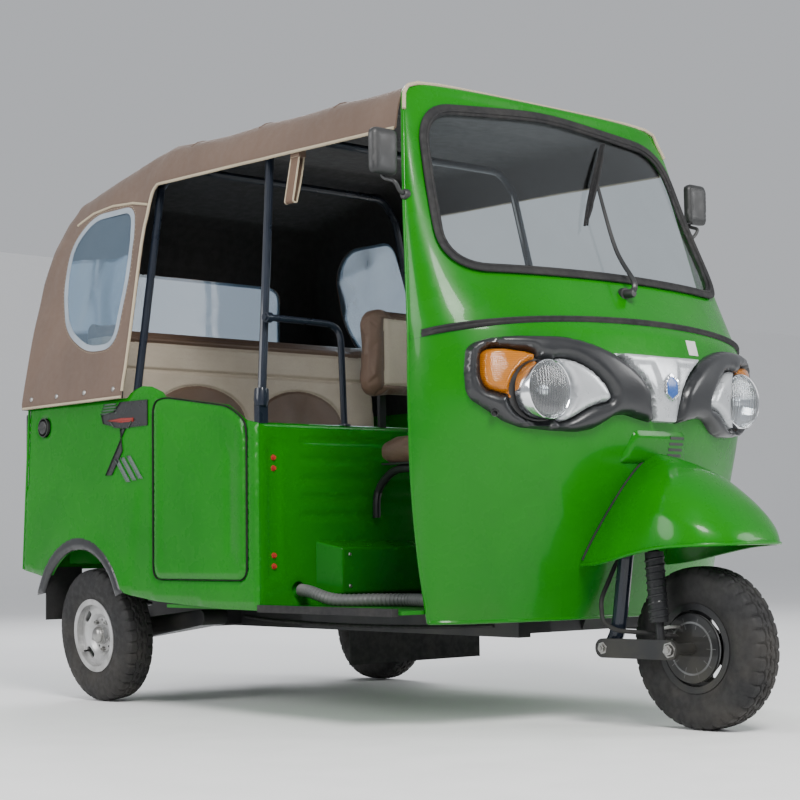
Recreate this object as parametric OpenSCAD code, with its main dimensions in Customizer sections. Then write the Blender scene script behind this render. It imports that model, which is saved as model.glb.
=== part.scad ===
// Three-wheeled auto rickshaw: steel front cowl, driver's seat ahead of a passenger tub, canvas canopy.
// Millimetres. +Z is up, the vehicle faces -Y and +X is its left side.
// The origin is on the ground under the middle of the vehicle's box.

/* [Overall] */
// Distance between the front and rear axles
wheelbase = 1950; // [1850:10:2100]
// Full width of the passenger tub
tub_w = 1300; // [1200:10:1450]
// Height of the tub's top edge above the ground
belt_z = 948; // [900:5:1000]
// Height of the roof's crown above the ground
roof_z = 1742; // [1700:5:1850]
// Height of the floor's top face
floor_z = 313; // [290:1:340]

/* [Cowl] */
// Widest half width of the front cowl, at its waist
cowl_half_w = 622; // [600:1:640]
// How far the cowl bulges ahead of its rear edge, at its fullest
cowl_depth = 323; // [280:1:360]
// Distance from the front axle back to the cowl's rear edge at its foot
cowl_setback = 455; // [430:5:520]
// Thickness of the cowl wall with its inner flange
cowl_wall = 14; // [8:1:24]
// Height of the waist moulding at the centre line
waist_z = 1062; // [1040:1:1090]

/* [Windscreen] */
// Half width of the glass at its foot
glass_foot_half = 540; // [480:5:550]
// Half width of the glass at its top
glass_top_half = 478; // [420:5:485]
// Height of the glass's foot at its corners
glass_foot_z = 1195; // [1170:5:1220]
// Height of the glass's top edge at the centre line
glass_top_z = 1680; // [1600:5:1690]
// Thickness of the windscreen glass
glass_t = 6; // [4:0.5:8]

/* [Wheels] */
// Outer radius of a tyre
tyre_r = 208.5; // [195:0.5:225]
// Section width of a tyre
tyre_w = 108; // [95:1:120]
// Radius of the rim's bead seat
bead_r = 101.6; // [95:0.1:110]
// Half the distance between the rear wheels' middles
half_track = 575; // [560:1:585]
// Outward lean of each unladen rear wheel
camber = 4.7; // [0:0.1:6]
// Radius of a wheel's bearing bore
axle_bore_r = 15; // [12:0.5:20]

/* [Steering] */
// Backward lean of the steering column
rake = 22.2; // [15:0.1:28]
// Radius of the steering column tube
column_r = 17; // [14:0.5:22]
// Sideways offset of the single fork leg
fork_x = 112; // [104:1:118]

/* [Tub] */
// Distance from the rear axle forward to the tub's front face
tub_front = 899; // [850:1:950]
// Distance from the rear axle back to the tub's rear foot
tub_rear_out = 401; // [370:1:430]
// Thickness of the tub's side and rear walls
tub_wall = 12; // [8:1:20]
// Thickness of the bulkhead between driver and passengers
bulkhead_t = 24; // [16:1:36]

/* [Canopy] */
// Thickness of the canopy cloth with its lining
canopy_t = 10; // [6:1:16]
// Half width of the canopy at the roof edge
roof_half_w = 540; // [500:5:560]
// Height of the canopy's side hem above the doorways
hem_z = 1606; // [1580:2:1630]

/* [Seats] */
// Width of the driver's cushion
driver_seat_w = 520; // [420:10:620]
// Width of the passenger bench cushion
bench_w = 1180; // [1000:10:1220]
// Thickness of the bench cushion
bench_cushion_t = 110; // [80:5:140]

/* [Rear hatch] */
// Width of the engine hatch in the rear wall
hatch_w = 620; // [500:10:760]
// Height of the engine hatch
hatch_h = 300; // [240:5:340]
// Gap round a moving panel
shut_gap = 6; // [5:0.5:10]

/* [Hidden] */

$fn = 48;
RUN = 0.05;                 // running clearance of a shaft in its bore
SEAT = 0.3;                 // clearance of a part that rests on a curved neighbour
half_w = tub_w / 2;

// ---- places along the vehicle ----
front_axle_y = -1089;
rear_axle_y = front_axle_y + wheelbase;
tub_front_y = rear_axle_y - tub_front;
tub_rear_y = rear_axle_y + tub_rear_out;
cowl_foot_y = front_axle_y + cowl_setback;

// ================= small helpers =================

// Slope of a table of [z, value...] rows at row i, for column k
function slope(t, i, k) =
  let (a = max(i - 1, 0), b = min(i + 1, len(t) - 1)) (t[b][k] - t[a][k]) / (t[b][0] - t[a][0]);

function row_below(t, z, i = 0) = (i >= len(t) - 2 || z < t[i + 1][0]) ? i : row_below(t, z, i + 1);

// Smooth value of column k at height z, through the table's rows
function along(t, z, k) =
  let (
    i = row_below(t, z), h = t[i + 1][0] - t[i][0], u = (z - t[i][0]) / h,
    a = t[i][k], b = t[i + 1][k], ma = slope(t, i, k) * h, mb = slope(t, i + 1, k) * h
  ) (2 * u^3 - 3 * u^2 + 1) * a + (u^3 - 2 * u^2 + u) * ma + (3 * u^2 - 2 * u^3) * b + (u^3 - u^2) * mb;

// Closed solid through rings of equal length, with flat end caps.
// Each ring runs anticlockwise as seen looking back along the way the rings advance.
module loft(rings) {
  n = len(rings[0]);
  m = len(rings);
  polyhedron(
    points = [for (r = rings) each r],
    faces = concat(
      [[for (j = [0 : n - 1]) j]],
      [for (i = [0 : m - 2]) for (j = [0 : n - 1]) [i * n + j, (i + 1) * n + j, i * n + (j + 1) % n]],
      [for (i = [0 : m - 2]) for (j = [0 : n - 1])
        [i * n + (j + 1) % n, (i + 1) * n + j, (i + 1) * n + (j + 1) % n]],
      [[for (j = [n - 1 : -1 : 0]) (m - 1) * n + j]]
    ), convexity = 8);
}

// Straight round bar between two points
module bar(a, b, r) {
  d = b - a;
  l = norm(d);
  translate(a) rotate([0, acos(d[2] / l), atan2(d[1], d[0])]) cylinder(r = r, h = l);
}

// Points of a path with each inner corner rounded by a curve of size c
function bent(p, c, steps = 4) = concat(
  [p[0]],
  [for (i = [1 : 1 : len(p) - 2])
    let (
      a = p[i - 1], b = p[i], d = p[i + 1],
      s = b + (a - b) / norm(a - b) * min(c, norm(a - b) / 2.05),
      e = b + (d - b) / norm(d - b) * min(c, norm(d - b) / 2.05)
    ) for (k = [0 : steps]) let (u = k / steps) (1 - u)^2 * s + 2 * u * (1 - u) * b + u^2 * e],
  [p[len(p) - 1]]
);

function unit(v) = v / norm(v);

// Direction of the path at point i
function heading(p, i) = unit(
  (i < len(p) - 1 ? unit(p[i + 1] - p[i]) : [0, 0, 0]) + (i > 0 ? unit(p[i] - p[i - 1]) : [0, 0, 0]));

// Side vector carried along the path without twist
function carried(p, i) =
  i == 0
    ? let (t = heading(p, 0), g = abs(t[2]) > 0.9 ? [1, 0, 0] : [0, 0, 1]) unit(g - (g * t) * t)
    : let (v = carried(p, i - 1), t = heading(p, i)) unit(v - (v * t) * t);

// Bent round tube through points, with rounded corners
module pipe(pts, r, c = 40, sides = 12) {
  p = bent(pts, c);
  loft([for (i = [0 : len(p) - 1])
    let (t = heading(p, i), v = carried(p, i), w = cross(t, v))
      [for (k = [0 : sides - 1]) p[i] + r * (cos(360 * k / sides) * v + sin(360 * k / sides) * w)]]);
}

// Box from its low corner to its high corner
module span(a, b) { translate(a) cube(b - a); }

// Both sides of the vehicle
module both_sides() { children(); mirror([1, 0, 0]) children(); }

// Outline in side view (points are [y, z]) extruded from x0 to x1
module side_plate(pts, x0, x1) {
  translate([x0, 0, 0]) rotate([90, 0, 90]) linear_extrude(height = x1 - x0) polygon(pts);
}

// Outline in front view (points are [x, z]) extruded from y0 to y1
module front_plate(pts, y0, y1) {
  translate([0, y1, 0]) rotate([90, 0, 0]) linear_extrude(height = y1 - y0) polygon(pts);
}

// Rectangle with rounded corners, as points
function round_rect(x0, z0, x1, z1, r) = [
  for (c = [[x1 - r, z0 + r, -90], [x1 - r, z1 - r, 0], [x0 + r, z1 - r, 90], [x0 + r, z0 + r, 180]])
    for (a = [0 : 15 : 90]) [c[0] + r * cos(c[2] + a), c[1] + r * sin(c[2] + a)]
];

// Points of a quadrilateral's outline with each corner rounded by a curve of size r
function round_poly(p, r, steps = 6) = [
  for (i = [0 : len(p) - 1])
    let (
      a = p[(i + len(p) - 1) % len(p)], b = p[i], c = p[(i + 1) % len(p)],
      s = b + (a - b) / norm(a - b) * min(r, norm(a - b) / 2.01),
      e = b + (c - b) / norm(c - b) * min(r, norm(c - b) / 2.01)
    ) for (k = [0 : steps]) let (u = k / steps) (1 - u)^2 * s + 2 * u * (1 - u) * b + u^2 * e
];

// Cushion block: a box with rounded lengthwise edges
module pad(a, b, r) { front_plate(round_rect(a[0], a[2], b[0], b[2], r), a[1], b[1]); }

// ================= cowl surface =================

// Height, half width, rear edge behind the foot's, depth of the bulge, plan exponent
cowl_rows = [
  [280, cowl_half_w - 72, 0, cowl_depth - 188, 1.8],
  [450, cowl_half_w - 46, 4, cowl_depth - 114, 1.85],
  [650, cowl_half_w - 21, -1, cowl_depth - 38, 1.9],
  [880, cowl_half_w - 4, -14, cowl_depth, 1.95],
  [1030, cowl_half_w, -20, cowl_depth - 48, 2.0],
  [1060, cowl_half_w - 1, -18, cowl_depth - 72, 2.0],
  [1205, cowl_half_w - 20, 8, cowl_depth - 152, 2.15],
  [1420, cowl_half_w - 54, 53, cowl_depth - 234, 2.25],
  [1620, cowl_half_w - 91, 96, cowl_depth - 278, 2.35],
  [1690, cowl_half_w - 112, 118, cowl_depth - 290, 2.4]
];
cowl_levels = [280, 340, 400, 460, 520, 580, 640, 700, 760, 820, 880, 930, 980, 1020, 1050, 1085,
  1130, 1180, 1240, 1300, 1360, 1420, 1480, 1540, 1590, 1640, 1670, 1690];
cowl_top_z = roof_z - 14;
COWL_STEPS = 40;

function superell(c, e) = sign(c) * pow(abs(c), e);

// One plan section of the cowl at height z, drawn in by w from its outer face
function cowl_ring(z, w = 0, back = 0) =
  let (
    hw = along(cowl_rows, z, 1) - w, y0 = cowl_foot_y + along(cowl_rows, z, 2),
    d = along(cowl_rows, z, 3) - w, e = 2 / along(cowl_rows, z, 4)
  ) concat(
    [for (i = [0 : COWL_STEPS]) let (a = 180 + 180 * i / COWL_STEPS)
      [hw * superell(cos(a), e), y0 + d * superell(sin(a), e), z]],
    back > 0 ? [[hw, y0 + back, z], [-hw, y0 + back, z]] : []
  );

// Roof edge of the cowl: the top section shrinks and rises to the crown
function cowl_cap(w, back) = [
  for (k = [[0.55, 0.975], [0.85, 0.9], [1, 0.72]])
    let (r = cowl_ring(1690, w, back), y0 = cowl_foot_y + 118)
      [for (p = r) [p[0] * k[1], y0 + (p[1] - y0) * (p[1] < y0 ? k[1] : 1), 1690 + (cowl_top_z - w - 1690) * k[0]]]
];

module cowl_body(w = 0, back = 0) {
  loft(concat([for (z = cowl_levels) cowl_ring(z, w, back)], cowl_cap(w, back)));
}

// Depth of the cowl's outer face at half width x and height z
function cowl_y(x, z, w = 0) =
  let (
    hw = along(cowl_rows, z, 1) - w, n = along(cowl_rows, z, 4),
    d = along(cowl_rows, z, 3) - w
  ) cowl_foot_y + along(cowl_rows, z, 2) - d * pow(max(0, 1 - pow(min(1, abs(x) / hw), n)), 1 / n);

// Windscreen outline in front view, grown by g
function glass_outline(g) = round_poly([
    [-glass_foot_half - g, glass_foot_z - g], [0, glass_foot_z + 6 - g],
    [glass_foot_half + g, glass_foot_z - g], [glass_top_half + g, glass_top_z - 38 + g],
    [0, glass_top_z + 6 + g], [-glass_top_half - g, glass_top_z - 38 + g]
  ], 110);

module cowl() {
  color("#22a41c") difference() {
    cowl_body();
    difference() {
      translate([0, 0, -1]) cowl_body(cowl_wall, 400);
      span([-700, front_axle_y, cowl_top_z - cowl_wall], [700, front_axle_y + 900, cowl_top_z + 50]);
    }
    front_plate(glass_outline(0), front_axle_y - 100, cowl_foot_y + 60);
    // round holes for the lamps, the wiper's spindle and the steering column
    for (s = [-1, 1]) translate([s * lamp_x, cowl_foot_y, lamp_z]) rotate([90, 0, 0])
      cylinder(r = lamp_r + 2 * SEAT, h = 500);
    bar(wiper_pivot + [0, 60, 0], wiper_pivot - [0, 60, 0], wiper_r + SEAT);
    bar(on_column(470), on_column(700), column_r + 16);
  }
}

module windscreen() {
  color([0.55, 0.65, 0.72, 0.4]) intersection() {
    difference() { cowl_body(3); cowl_body(3 + glass_t, 30); }
    front_plate(glass_outline(-SEAT), front_axle_y - 100, cowl_foot_y + 60);
  }
}

module windscreen_seal() {
  color("#1a1a1a") intersection() {
    difference() { cowl_body(-5); cowl_body(0, 60); }
    difference() {
      front_plate(glass_outline(16), front_axle_y - 100, cowl_foot_y + 60);
      front_plate(glass_outline(-14), front_axle_y - 101, cowl_foot_y + 61);
    }
  }
}

// Height of the waist line at half width x
function waist_at(x) = waist_edge_z + (waist_z - waist_edge_z) * pow(max(0, 1 - pow(x / cowl_half_w, 2)), 0.6);

waist_edge_z = 1012;

// Rubber strip that follows the cowl's waist and rises to the centre line
module waist_moulding() {
  xs = [-660, -620, -600, -560, -500, -400, -300, -200, -100, 0, 100, 200, 300, 400, 500, 560, 600, 620, 660];
  color("#161616") intersection() {
    difference() { cowl_body(-12); cowl_body(-SEAT, 60); }
    front_plate(concat([for (x = xs) [x, waist_at(x) - 9]], [for (i = [len(xs) - 1 : -1 : 0]) [xs[i], waist_at(xs[i]) + 9]]),
      front_axle_y - 100, cowl_foot_y);
  }
}

// ================= lamps =================

lamp_x = 386;
lamp_z = 869;
lamp_r = 76;

// Outline of one lamp mask in front view, from the centre outwards
function mask_outline(s) = round_poly([for (p = [
    [46, 792], [54, 836], [66, 879], [94, 911], [136, 942], [176, 966], [225, 986], [285, 1002], [340, 1008],
    [430, 1008], [494, 1002], [532, 990], [549, 972], [554, 917], [550, 868], [540, 845], [512, 822], [470, 790],
    [430, 774], [347, 766], [280, 764], [238, 772], [209, 787], [175, 808], [141, 811], [105, 803]
  ]) [s * p[0], p[1]]], 9, 2);

module lamp_fascia() {
  color("#1c1c1e") for (s = [-1, 1]) difference() {
    intersection() {
      difference() { cowl_body(-34); cowl_body(-SEAT, 60); }
      front_plate(mask_outline(s), front_axle_y - 100, cowl_foot_y);
    }
    translate([s * lamp_x, cowl_foot_y, lamp_z]) rotate([90, 0, 0]) cylinder(r = lamp_r + 2 * SEAT, h = 500);
    front_plate(indicator_outline(s, 2 * SEAT), front_axle_y - 100, cowl_foot_y);
  }
}

function indicator_outline(s, g = 0) = [
  for (p = shrink([[412, 962], [470, 974], [520, 973], [538, 962], [538, 905], [528, 872], [470, 852], [436, 842]], -g))
    [s * p[0], p[1]]
];

module headlamps() {
  color("#d9dde0") for (s = [-1, 1]) {
    y = cowl_y(lamp_x, lamp_z) + 20;
    translate([s * lamp_x, y, lamp_z]) rotate([90, 0, 0]) {
      cylinder(r = lamp_r, h = 50);
      translate([0, 0, 50]) intersection() {
        cylinder(r = lamp_r, h = 14);
        translate([0, 0, 14 - 230]) sphere(r = 230, $fn = 96);
      }
    }
  }
}

module indicators() {
  color("#f07a12") for (s = [-1, 1]) difference() {
    intersection() {
      difference() { cowl_body(-34); cowl_body(-SEAT, 60); }
      front_plate(indicator_outline(s), front_axle_y - 100, cowl_foot_y);
    }
    translate([s * lamp_x, cowl_foot_y, lamp_z]) rotate([90, 0, 0]) cylinder(r = lamp_r + 2 * SEAT, h = 500);
  }
}

module nose_garnish() {
  color("#c9ccce") {
    intersection() {
      difference() { cowl_body(-24); cowl_body(-SEAT, 60); }
      front_plate([[-168, 968], [0, 964], [168, 968], [131, 943], [90, 913], [61, 880], [49, 837], [41, 796],
        [-41, 796], [-49, 837], [-61, 880], [-90, 913], [-131, 943]],
        front_axle_y - 100, cowl_foot_y);
    }
    translate([0, cowl_y(0, 880) - 20, 880]) rotate([90, 0, 0]) cylinder(r = 30, h = 12, $fn = 6);
  }
}

// ================= front mudguard =================

// Distance ahead of the front axle, crown height, half width, hem height, plan exponent
guard_rows = [
  [-270, 742, 172, 418, 1.25],
  [-205, 728, 178, 424, 1.35],
  [-150, 715, 186, 434, 1.5],
  [-80, 698, 192, 448, 1.8],
  [0, 664, 195, 462, 2.2],
  [60, 622, 188, 467, 2.2],
  [110, 578, 166, 469, 2.2],
  [145, 538, 132, 470, 2.2],
  [168, 506, 90, 471, 2.2],
  [178, 486, 46, 472, 2.2]
];

function guard_ring(s, w) =
  let (c = along(guard_rows, s, 1) - w, hw = along(guard_rows, s, 2) - w, b = along(guard_rows, s, 3),
       e = 2 / along(guard_rows, s, 4))
  [for (i = [0 : 24]) let (a = 180 * i / 24)
    [hw * superell(cos(a), e), front_axle_y - s, b + (w > 0 ? -2 : 0) + (c - b) * pow(sin(a), e)]];

module guard_body(w = 0) {
  loft([for (s = w > 0 ? [-300, -205, -170, -130, -80, -40, 0, 35, 70, 100, 125, 145, 160, 168]
                       : [-270, -205, -170, -130, -80, -40, 0, 35, 70, 100, 125, 145, 160, 170, 178])
    guard_ring(max(s, -270), w)]);
}

module front_mudguard() {
  color("#22a41c") difference() {
    guard_body();
    guard_body(8);
    cowl_body(-SEAT, 100);
  }
}

// ================= wiper and mirrors =================

wiper_pivot = [0, cowl_y(0, 1150), 1150];
wiper_r = 13;

module wiper() {
  pivot = wiper_pivot;
  color("#141414") {
    bar(pivot + [0, 12, 0], pivot + [0, -34, 0], wiper_r);
    bar(pivot + [0, -26, 0], [95, cowl_y(95, 1495) - 20, 1495], 6);
    bar([-15, cowl_y(15, 1355) - 20, 1355], [205, cowl_y(205, 1635) - 20, 1635], 6);
  }
}

mirror_at = [630, -576, 1505];

module mirrors() {
  foot_z = 1395;
  foot = [along(cowl_rows, foot_z, 1) - 4, cowl_foot_y + along(cowl_rows, foot_z, 2) - 8, foot_z];
  color("#17181a") both_sides() {
    front_plate(round_rect(mirror_at[0] - 45, mirror_at[2] - 63, mirror_at[0] + 45, mirror_at[2] + 63, 16),
      mirror_at[1] - 13, mirror_at[1] + 13);
    pipe([foot + [4.5, 0, -8], foot + [20, -2, -4], mirror_at + [-14, 18, -70], mirror_at + [0, 14, -30]], 6);
  }
}

module dashboard() {
  z = 1134;
  color("#202022") intersection() {
    cowl_body(cowl_wall + 1.5);
    span([-700, front_axle_y, z - 34], [700, cowl_foot_y - 60, z]);
  }
}

// ================= floor, bulkhead, sills =================

floor_t = 10;
seat_front_y = rear_axle_y - 425;

module floor_pan() {
  low = floor_z - floor_t;
  color("#1c7d18") {
    span([-half_w + 20, cowl_foot_y + 8, low], [half_w - 20, tub_front_y, floor_z]);
    span([-half_w + 20, tub_front_y + bulkhead_t, low], [half_w - 20, seat_front_y, floor_z]);
    difference() {
      intersection() {
        cowl_body(cowl_wall + 2, 8);
        span([-700, front_axle_y, low], [700, cowl_foot_y + 8, floor_z]);
      }
      // notch for the steering head's strut
      span([-46, front_axle_y, low - 1], [46, cowl_foot_y - 10, floor_z + 1]);
    }
  }
}

module sill_rubbers() {
  color("#151515") both_sides()
    span([half_w - 20, cowl_foot_y + 22, floor_z - 14], [half_w, tub_front_y - 1, floor_z + 6]);
}

bulk_top = 826;

module bulkhead() {
  y0 = tub_front_y;
  w = half_w - tub_wall;
  color("#22a41c") {
    difference() {
      span([-w, y0, floor_z - floor_t], [w, y0 + bulkhead_t, bulk_top]);
      // long horizontal grooves of the pressing
      for (z = [781, 726, 672, 619, 566]) span([-494, y0 - 1, z - 5], [494, y0 + 5, z + 5]);
      for (s = [-1, 1]) span([s * 586 - 21, y0 - 1, 393], [s * 586 + 21, y0 + 5, 779]);
      translate([-500, y0 - 1, 357]) rotate([-90, 0, 0]) cylinder(r = 25, h = bulkhead_t + 2);
    }
    // access cover in front of the partition, under the driver's seat
    hull() {
      span([-438, y0 - 6, 330], [438, y0, 494]);
      span([-400, y0 - 70, 345], [400, y0 - 64, 474]);
    }
  }
}

conduit_r = 18;
conduit_z = floor_z + conduit_r + SEAT;
conduit_pts = [
  [-500, tub_front_y + 6, 357], [-500, tub_front_y - 50, 352], [-490, tub_front_y - 150, conduit_z],
  [-440, tub_front_y - 260, conduit_z], [-400, tub_front_y - 360, conduit_z],
  [-420, tub_front_y - 470, conduit_z], [-430, tub_front_y - 560, conduit_z]
];

module floor_conduit() { color("#5d6062") pipe(conduit_pts, conduit_r); }

// ================= seats =================

seat_y = tub_front_y - 210;

module driver_seat_frame() {
  w = driver_seat_w / 2 - 40;
  color("#141416") both_sides() {
    pipe([[w, seat_y + 210 - 12.3, 560], [w, seat_y + 210 - 12.3, 640], [w, seat_y + 120, 700],
      [w, seat_y - 120, 700]], 12);
    span([w - 20, seat_y - 150, 711.5], [w + 20, seat_y + 150, 718]);
    // uprights that carry the backrest on the bulkhead
    span([168, tub_front_y + SEAT, bulk_top], [192, tub_front_y + 12, 1120]);
  }
}

module driver_cushion() {
  color("#7a5236") pad([-driver_seat_w / 2, seat_y - 180, 718.6], [driver_seat_w / 2, seat_y + 170, 800], 26);
}

module driver_backrest() {
  color("#7a5236") pad([-driver_seat_w / 2 - 40, tub_front_y - 58, 900],
    [driver_seat_w / 2 + 40, tub_front_y, 1190], 60);
}

bench_top = 556;

module seat_box() {
  top = bench_top - 12;
  color("#1c7d18") {
    span([-505, seat_front_y, floor_z - floor_t], [505, seat_front_y + 12, top]);
    for (s = [-1, 1]) span([s * 499 - 6, seat_front_y + 12, 430], [s * 499 + 6, tub_rear_y - 60, top]);
    span([-half_w + tub_wall, seat_front_y - 12, top], [half_w - tub_wall, tub_rear_y - 60, bench_top]);
  }
}

back_y = rear_axle_y - 30;

module passenger_cushion() {
  color("#6b4a33") pad([-bench_w / 2, rear_axle_y - 445, bench_top + SEAT],
    [bench_w / 2, back_y - SEAT, bench_top + bench_cushion_t], 34);
}

module passenger_backrest() {
  low = bench_top + SEAT;
  color("#b9ab97") side_plate(round_poly([
    [back_y, low], [back_y + 110, low], [back_y + 130, 1225], [back_y + 66, 1225]
  ], 28), -bench_w / 2, bench_w / 2);
}

// ================= passenger tub =================

filler_r = 30;

arch_pts = [
  for (a = [-8 : 8 : 156])
    [rear_axle_y + 42 + 232 * cos(a), 246 + 232 * sin(a)]
];

side_top = [
  [tub_front_y, bulk_top], [tub_front_y + 56, bulk_top + 12], [tub_front_y + 140, belt_z - 62],
  [tub_front_y + 462, belt_z - 17], [tub_front_y + 478, belt_z - 2], [tub_front_y + 587, belt_z + 24],
  [tub_front_y + 654, belt_z + 7], [tub_front_y + 676, belt_z - 7], [rear_axle_y + 66, belt_z],
  [tub_rear_y - 36, belt_z + 8]
];

side_pts = concat(
  [[tub_rear_y, 411], [tub_rear_y - 168, 384], [rear_axle_y - 247, 336], [rear_axle_y - 388, 320],
   [tub_front_y + 167, 304], [tub_front_y, floor_z - floor_t]],
  side_top
);

// Left side: low sill in the passengers' doorway, full panel round the wheel
left_pts = concat(
  [[tub_rear_y, 411], [tub_rear_y - 168, 384], [rear_axle_y - 247, 336], [rear_axle_y - 388, 320],
   [tub_front_y + 167, 304], [tub_front_y, floor_z - floor_t]],
  [[tub_front_y, bulk_top], [tub_front_y + 40, bulk_top - 30], [tub_front_y + 60, 420], [tub_front_y + 90, 370],
   [tub_front_y + 430, 370], [tub_front_y + 470, 420], [tub_front_y + 500, 860], [tub_front_y + 587, belt_z],
   [rear_axle_y + 66, belt_z], [tub_rear_y - 36, belt_z + 8]]
);

module tub_side(pts, s) {
  side_plate(pts, s > 0 ? half_w - tub_wall : -half_w, s > 0 ? half_w : -half_w + tub_wall);
}

door_pts = round_poly([
  [tub_front_y + 56, 388], [tub_front_y + 521, 388], [tub_front_y + 521, belt_z - 30],
  [tub_front_y + 462, belt_z - 22], [tub_front_y + 140, belt_z - 68], [tub_front_y + 56, bulk_top + 6]
], 42);

function shrink(p, g) =
  let (c = [for (q = p) 1] * p / len(p)) [for (q = p) q + (c - q) / norm(c - q) * g];

module tub_side_right() {
  color("#22a41c") difference() {
    tub_side(side_pts, -1);
    side_plate(arch_pts, -half_w - 1, -half_w + tub_wall + 1);
    // shut line of the door-shaped panel and its pressed pocket
    difference() {
      side_plate(door_pts, -half_w - 1, -half_w + 5);
      side_plate(shrink(door_pts, 5), -half_w - 2, -half_w + 6);
    }
    side_plate(round_poly([[tub_front_y + 90, 470], [tub_front_y + 130, 470], [tub_front_y + 130, 760],
      [tub_front_y + 90, 740]], 18), -half_w - 1, -half_w + 5);
    translate([-half_w - 1, rear_axle_y + 267, 876]) rotate([0, 90, 0])
      cylinder(r = filler_r + SEAT, h = tub_wall + 2);
  }
}

module tub_side_left() {
  color("#22a41c") difference() {
    tub_side(left_pts, 1);
    side_plate(arch_pts, half_w - tub_wall - 1, half_w + 1);
  }
}

// Rear wall outline in side view: it leans forward towards its top
rear_lean = 36;
rear_low_z = 411;
rear_top_z = belt_z + 8;
function rear_y(z) = tub_rear_y - rear_lean * (z - rear_low_z) / (rear_top_z - rear_low_z);
hatch_z0 = 452;
hatch_z1 = hatch_z0 + hatch_h;

module tub_rear() {
  w = half_w - tub_wall;
  color("#22a41c") difference() {
    side_plate([[rear_y(rear_low_z) - tub_wall, rear_low_z], [rear_y(rear_low_z), rear_low_z],
      [rear_y(rear_top_z), rear_top_z], [rear_y(rear_top_z) - tub_wall, rear_top_z]], -w, w);
    front_plate(round_rect(-hatch_w / 2, hatch_z0, hatch_w / 2, hatch_z1, 40), tub_rear_y - 100, tub_rear_y + 10);
  }
  color("#22a41c") hatch_pins();
}

hinge_r = 7;
hinge_at = [0, rear_y(hatch_z1) + hinge_r + 2, hatch_z1 + 8];

module engine_hatch() {
  color("#22a41c") {
    intersection() {
      side_plate([[rear_y(rear_low_z) - tub_wall, rear_low_z], [rear_y(rear_low_z), rear_low_z],
        [rear_y(rear_top_z), rear_top_z], [rear_y(rear_top_z) - tub_wall, rear_top_z]],
        -hatch_w / 2 + shut_gap, hatch_w / 2 - shut_gap);
      front_plate(round_rect(-hatch_w / 2 + shut_gap, hatch_z0 + shut_gap, hatch_w / 2 - shut_gap,
        hatch_z1 - shut_gap, 40 - shut_gap), tub_rear_y - 100, tub_rear_y + 10);
    }
    for (s = [-1, 1]) translate([s * hatch_w / 4, 0, 0]) {
      translate([-20, 0, 0]) difference() {
        hull() {
          translate([0, hinge_at[1], hinge_at[2]]) rotate([0, 90, 0]) cylinder(r = hinge_r, h = 40, $fn = 32);
          span([0, rear_y(hatch_z1 - 30), hatch_z1 - 40], [40, rear_y(hatch_z1 - 30) + 3, hatch_z1 - 30]);
        }
        translate([-1, hinge_at[1], hinge_at[2]]) rotate([0, 90, 0]) cylinder(r = 3 + RUN, h = 42);
      }
    }
  }
}

module hatch_pins() {
  for (s = [-1, 1]) translate([s * hatch_w / 4, 0, 0]) {
    translate([-34, hinge_at[1], hinge_at[2]]) rotate([0, 90, 0]) cylinder(r = 3, h = 68);
    for (x = [-34, 22]) span([x, rear_y(hatch_z1 + 8) - 2, hinge_at[2] - 5], [x + 12, hinge_at[1] + 5, hinge_at[2] + 5]);
  }
}

module arch_trims() {
  color("#1a1a1b") both_sides() difference() {
    side_plate([for (a = [-8 : 8 : 156]) [rear_axle_y + 42 + 272 * cos(a), 246 + 272 * sin(a)]],
      half_w, half_w + 8);
    side_plate(arch_pts, half_w - 1, half_w + 9);
    span([half_w - 1, rear_axle_y - 400, 100], [half_w + 9, rear_axle_y + 400, 330]);
  }
}

module mudflaps() {
  color("#131314") {
    both_sides() span([half_track - 70, rear_axle_y + 262, 250], [half_w - tub_wall, rear_axle_y + 268, 420]);
    span([-262, tub_front_y + 65, 130], [262, tub_front_y + 71, floor_z - floor_t - 70 - SEAT]);
  }
}

module fuel_cap() {
  color("#101010") translate([-half_w + tub_wall, rear_axle_y + 267, 876]) rotate([0, -90, 0]) {
    cylinder(r = filler_r, h = tub_wall + 3);
    translate([0, 0, tub_wall]) cylinder(r = filler_r - 8, h = 10);
  }
}

module tail_lamps() {
  color("#9c1a14") both_sides()
    span([half_w - 110, rear_y(770) + SEAT, 770], [half_w - 20, 1297.5, 930]);
}

tow_eye = [0, tub_rear_y + 20, 334];
tow_eye_r = 9;

module rear_bumper() {
  color("#141416") difference() {
    union() {
      bar([-420, tub_rear_y + 8, 372], [420, tub_rear_y + 8, 372], 20);
      for (s = [-1, 1]) span([s * 260 - 20, tub_rear_y - 80, 357], [s * 260 + 20, tub_rear_y, 387]);
      // number plate carrier and towing eye
      span([-130, tub_rear_y + 24, 352], [130, tub_rear_y + 30, 412]);
      span([-6, tub_rear_y + 2, 316], [6, tub_rear_y + 36, 358]);
    }
    for (s = [-1, 1]) translate([s * 80, tub_rear_y + 20, 402]) rotate([-90, 0, 0]) cylinder(r = 3.5, h = 20);
    translate(tow_eye - [10, 0, 0]) rotate([0, 90, 0]) cylinder(r = tow_eye_r, h = 20);
  }
}

// ================= canopy =================

roof_front_y = cowl_foot_y + 118;

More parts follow.
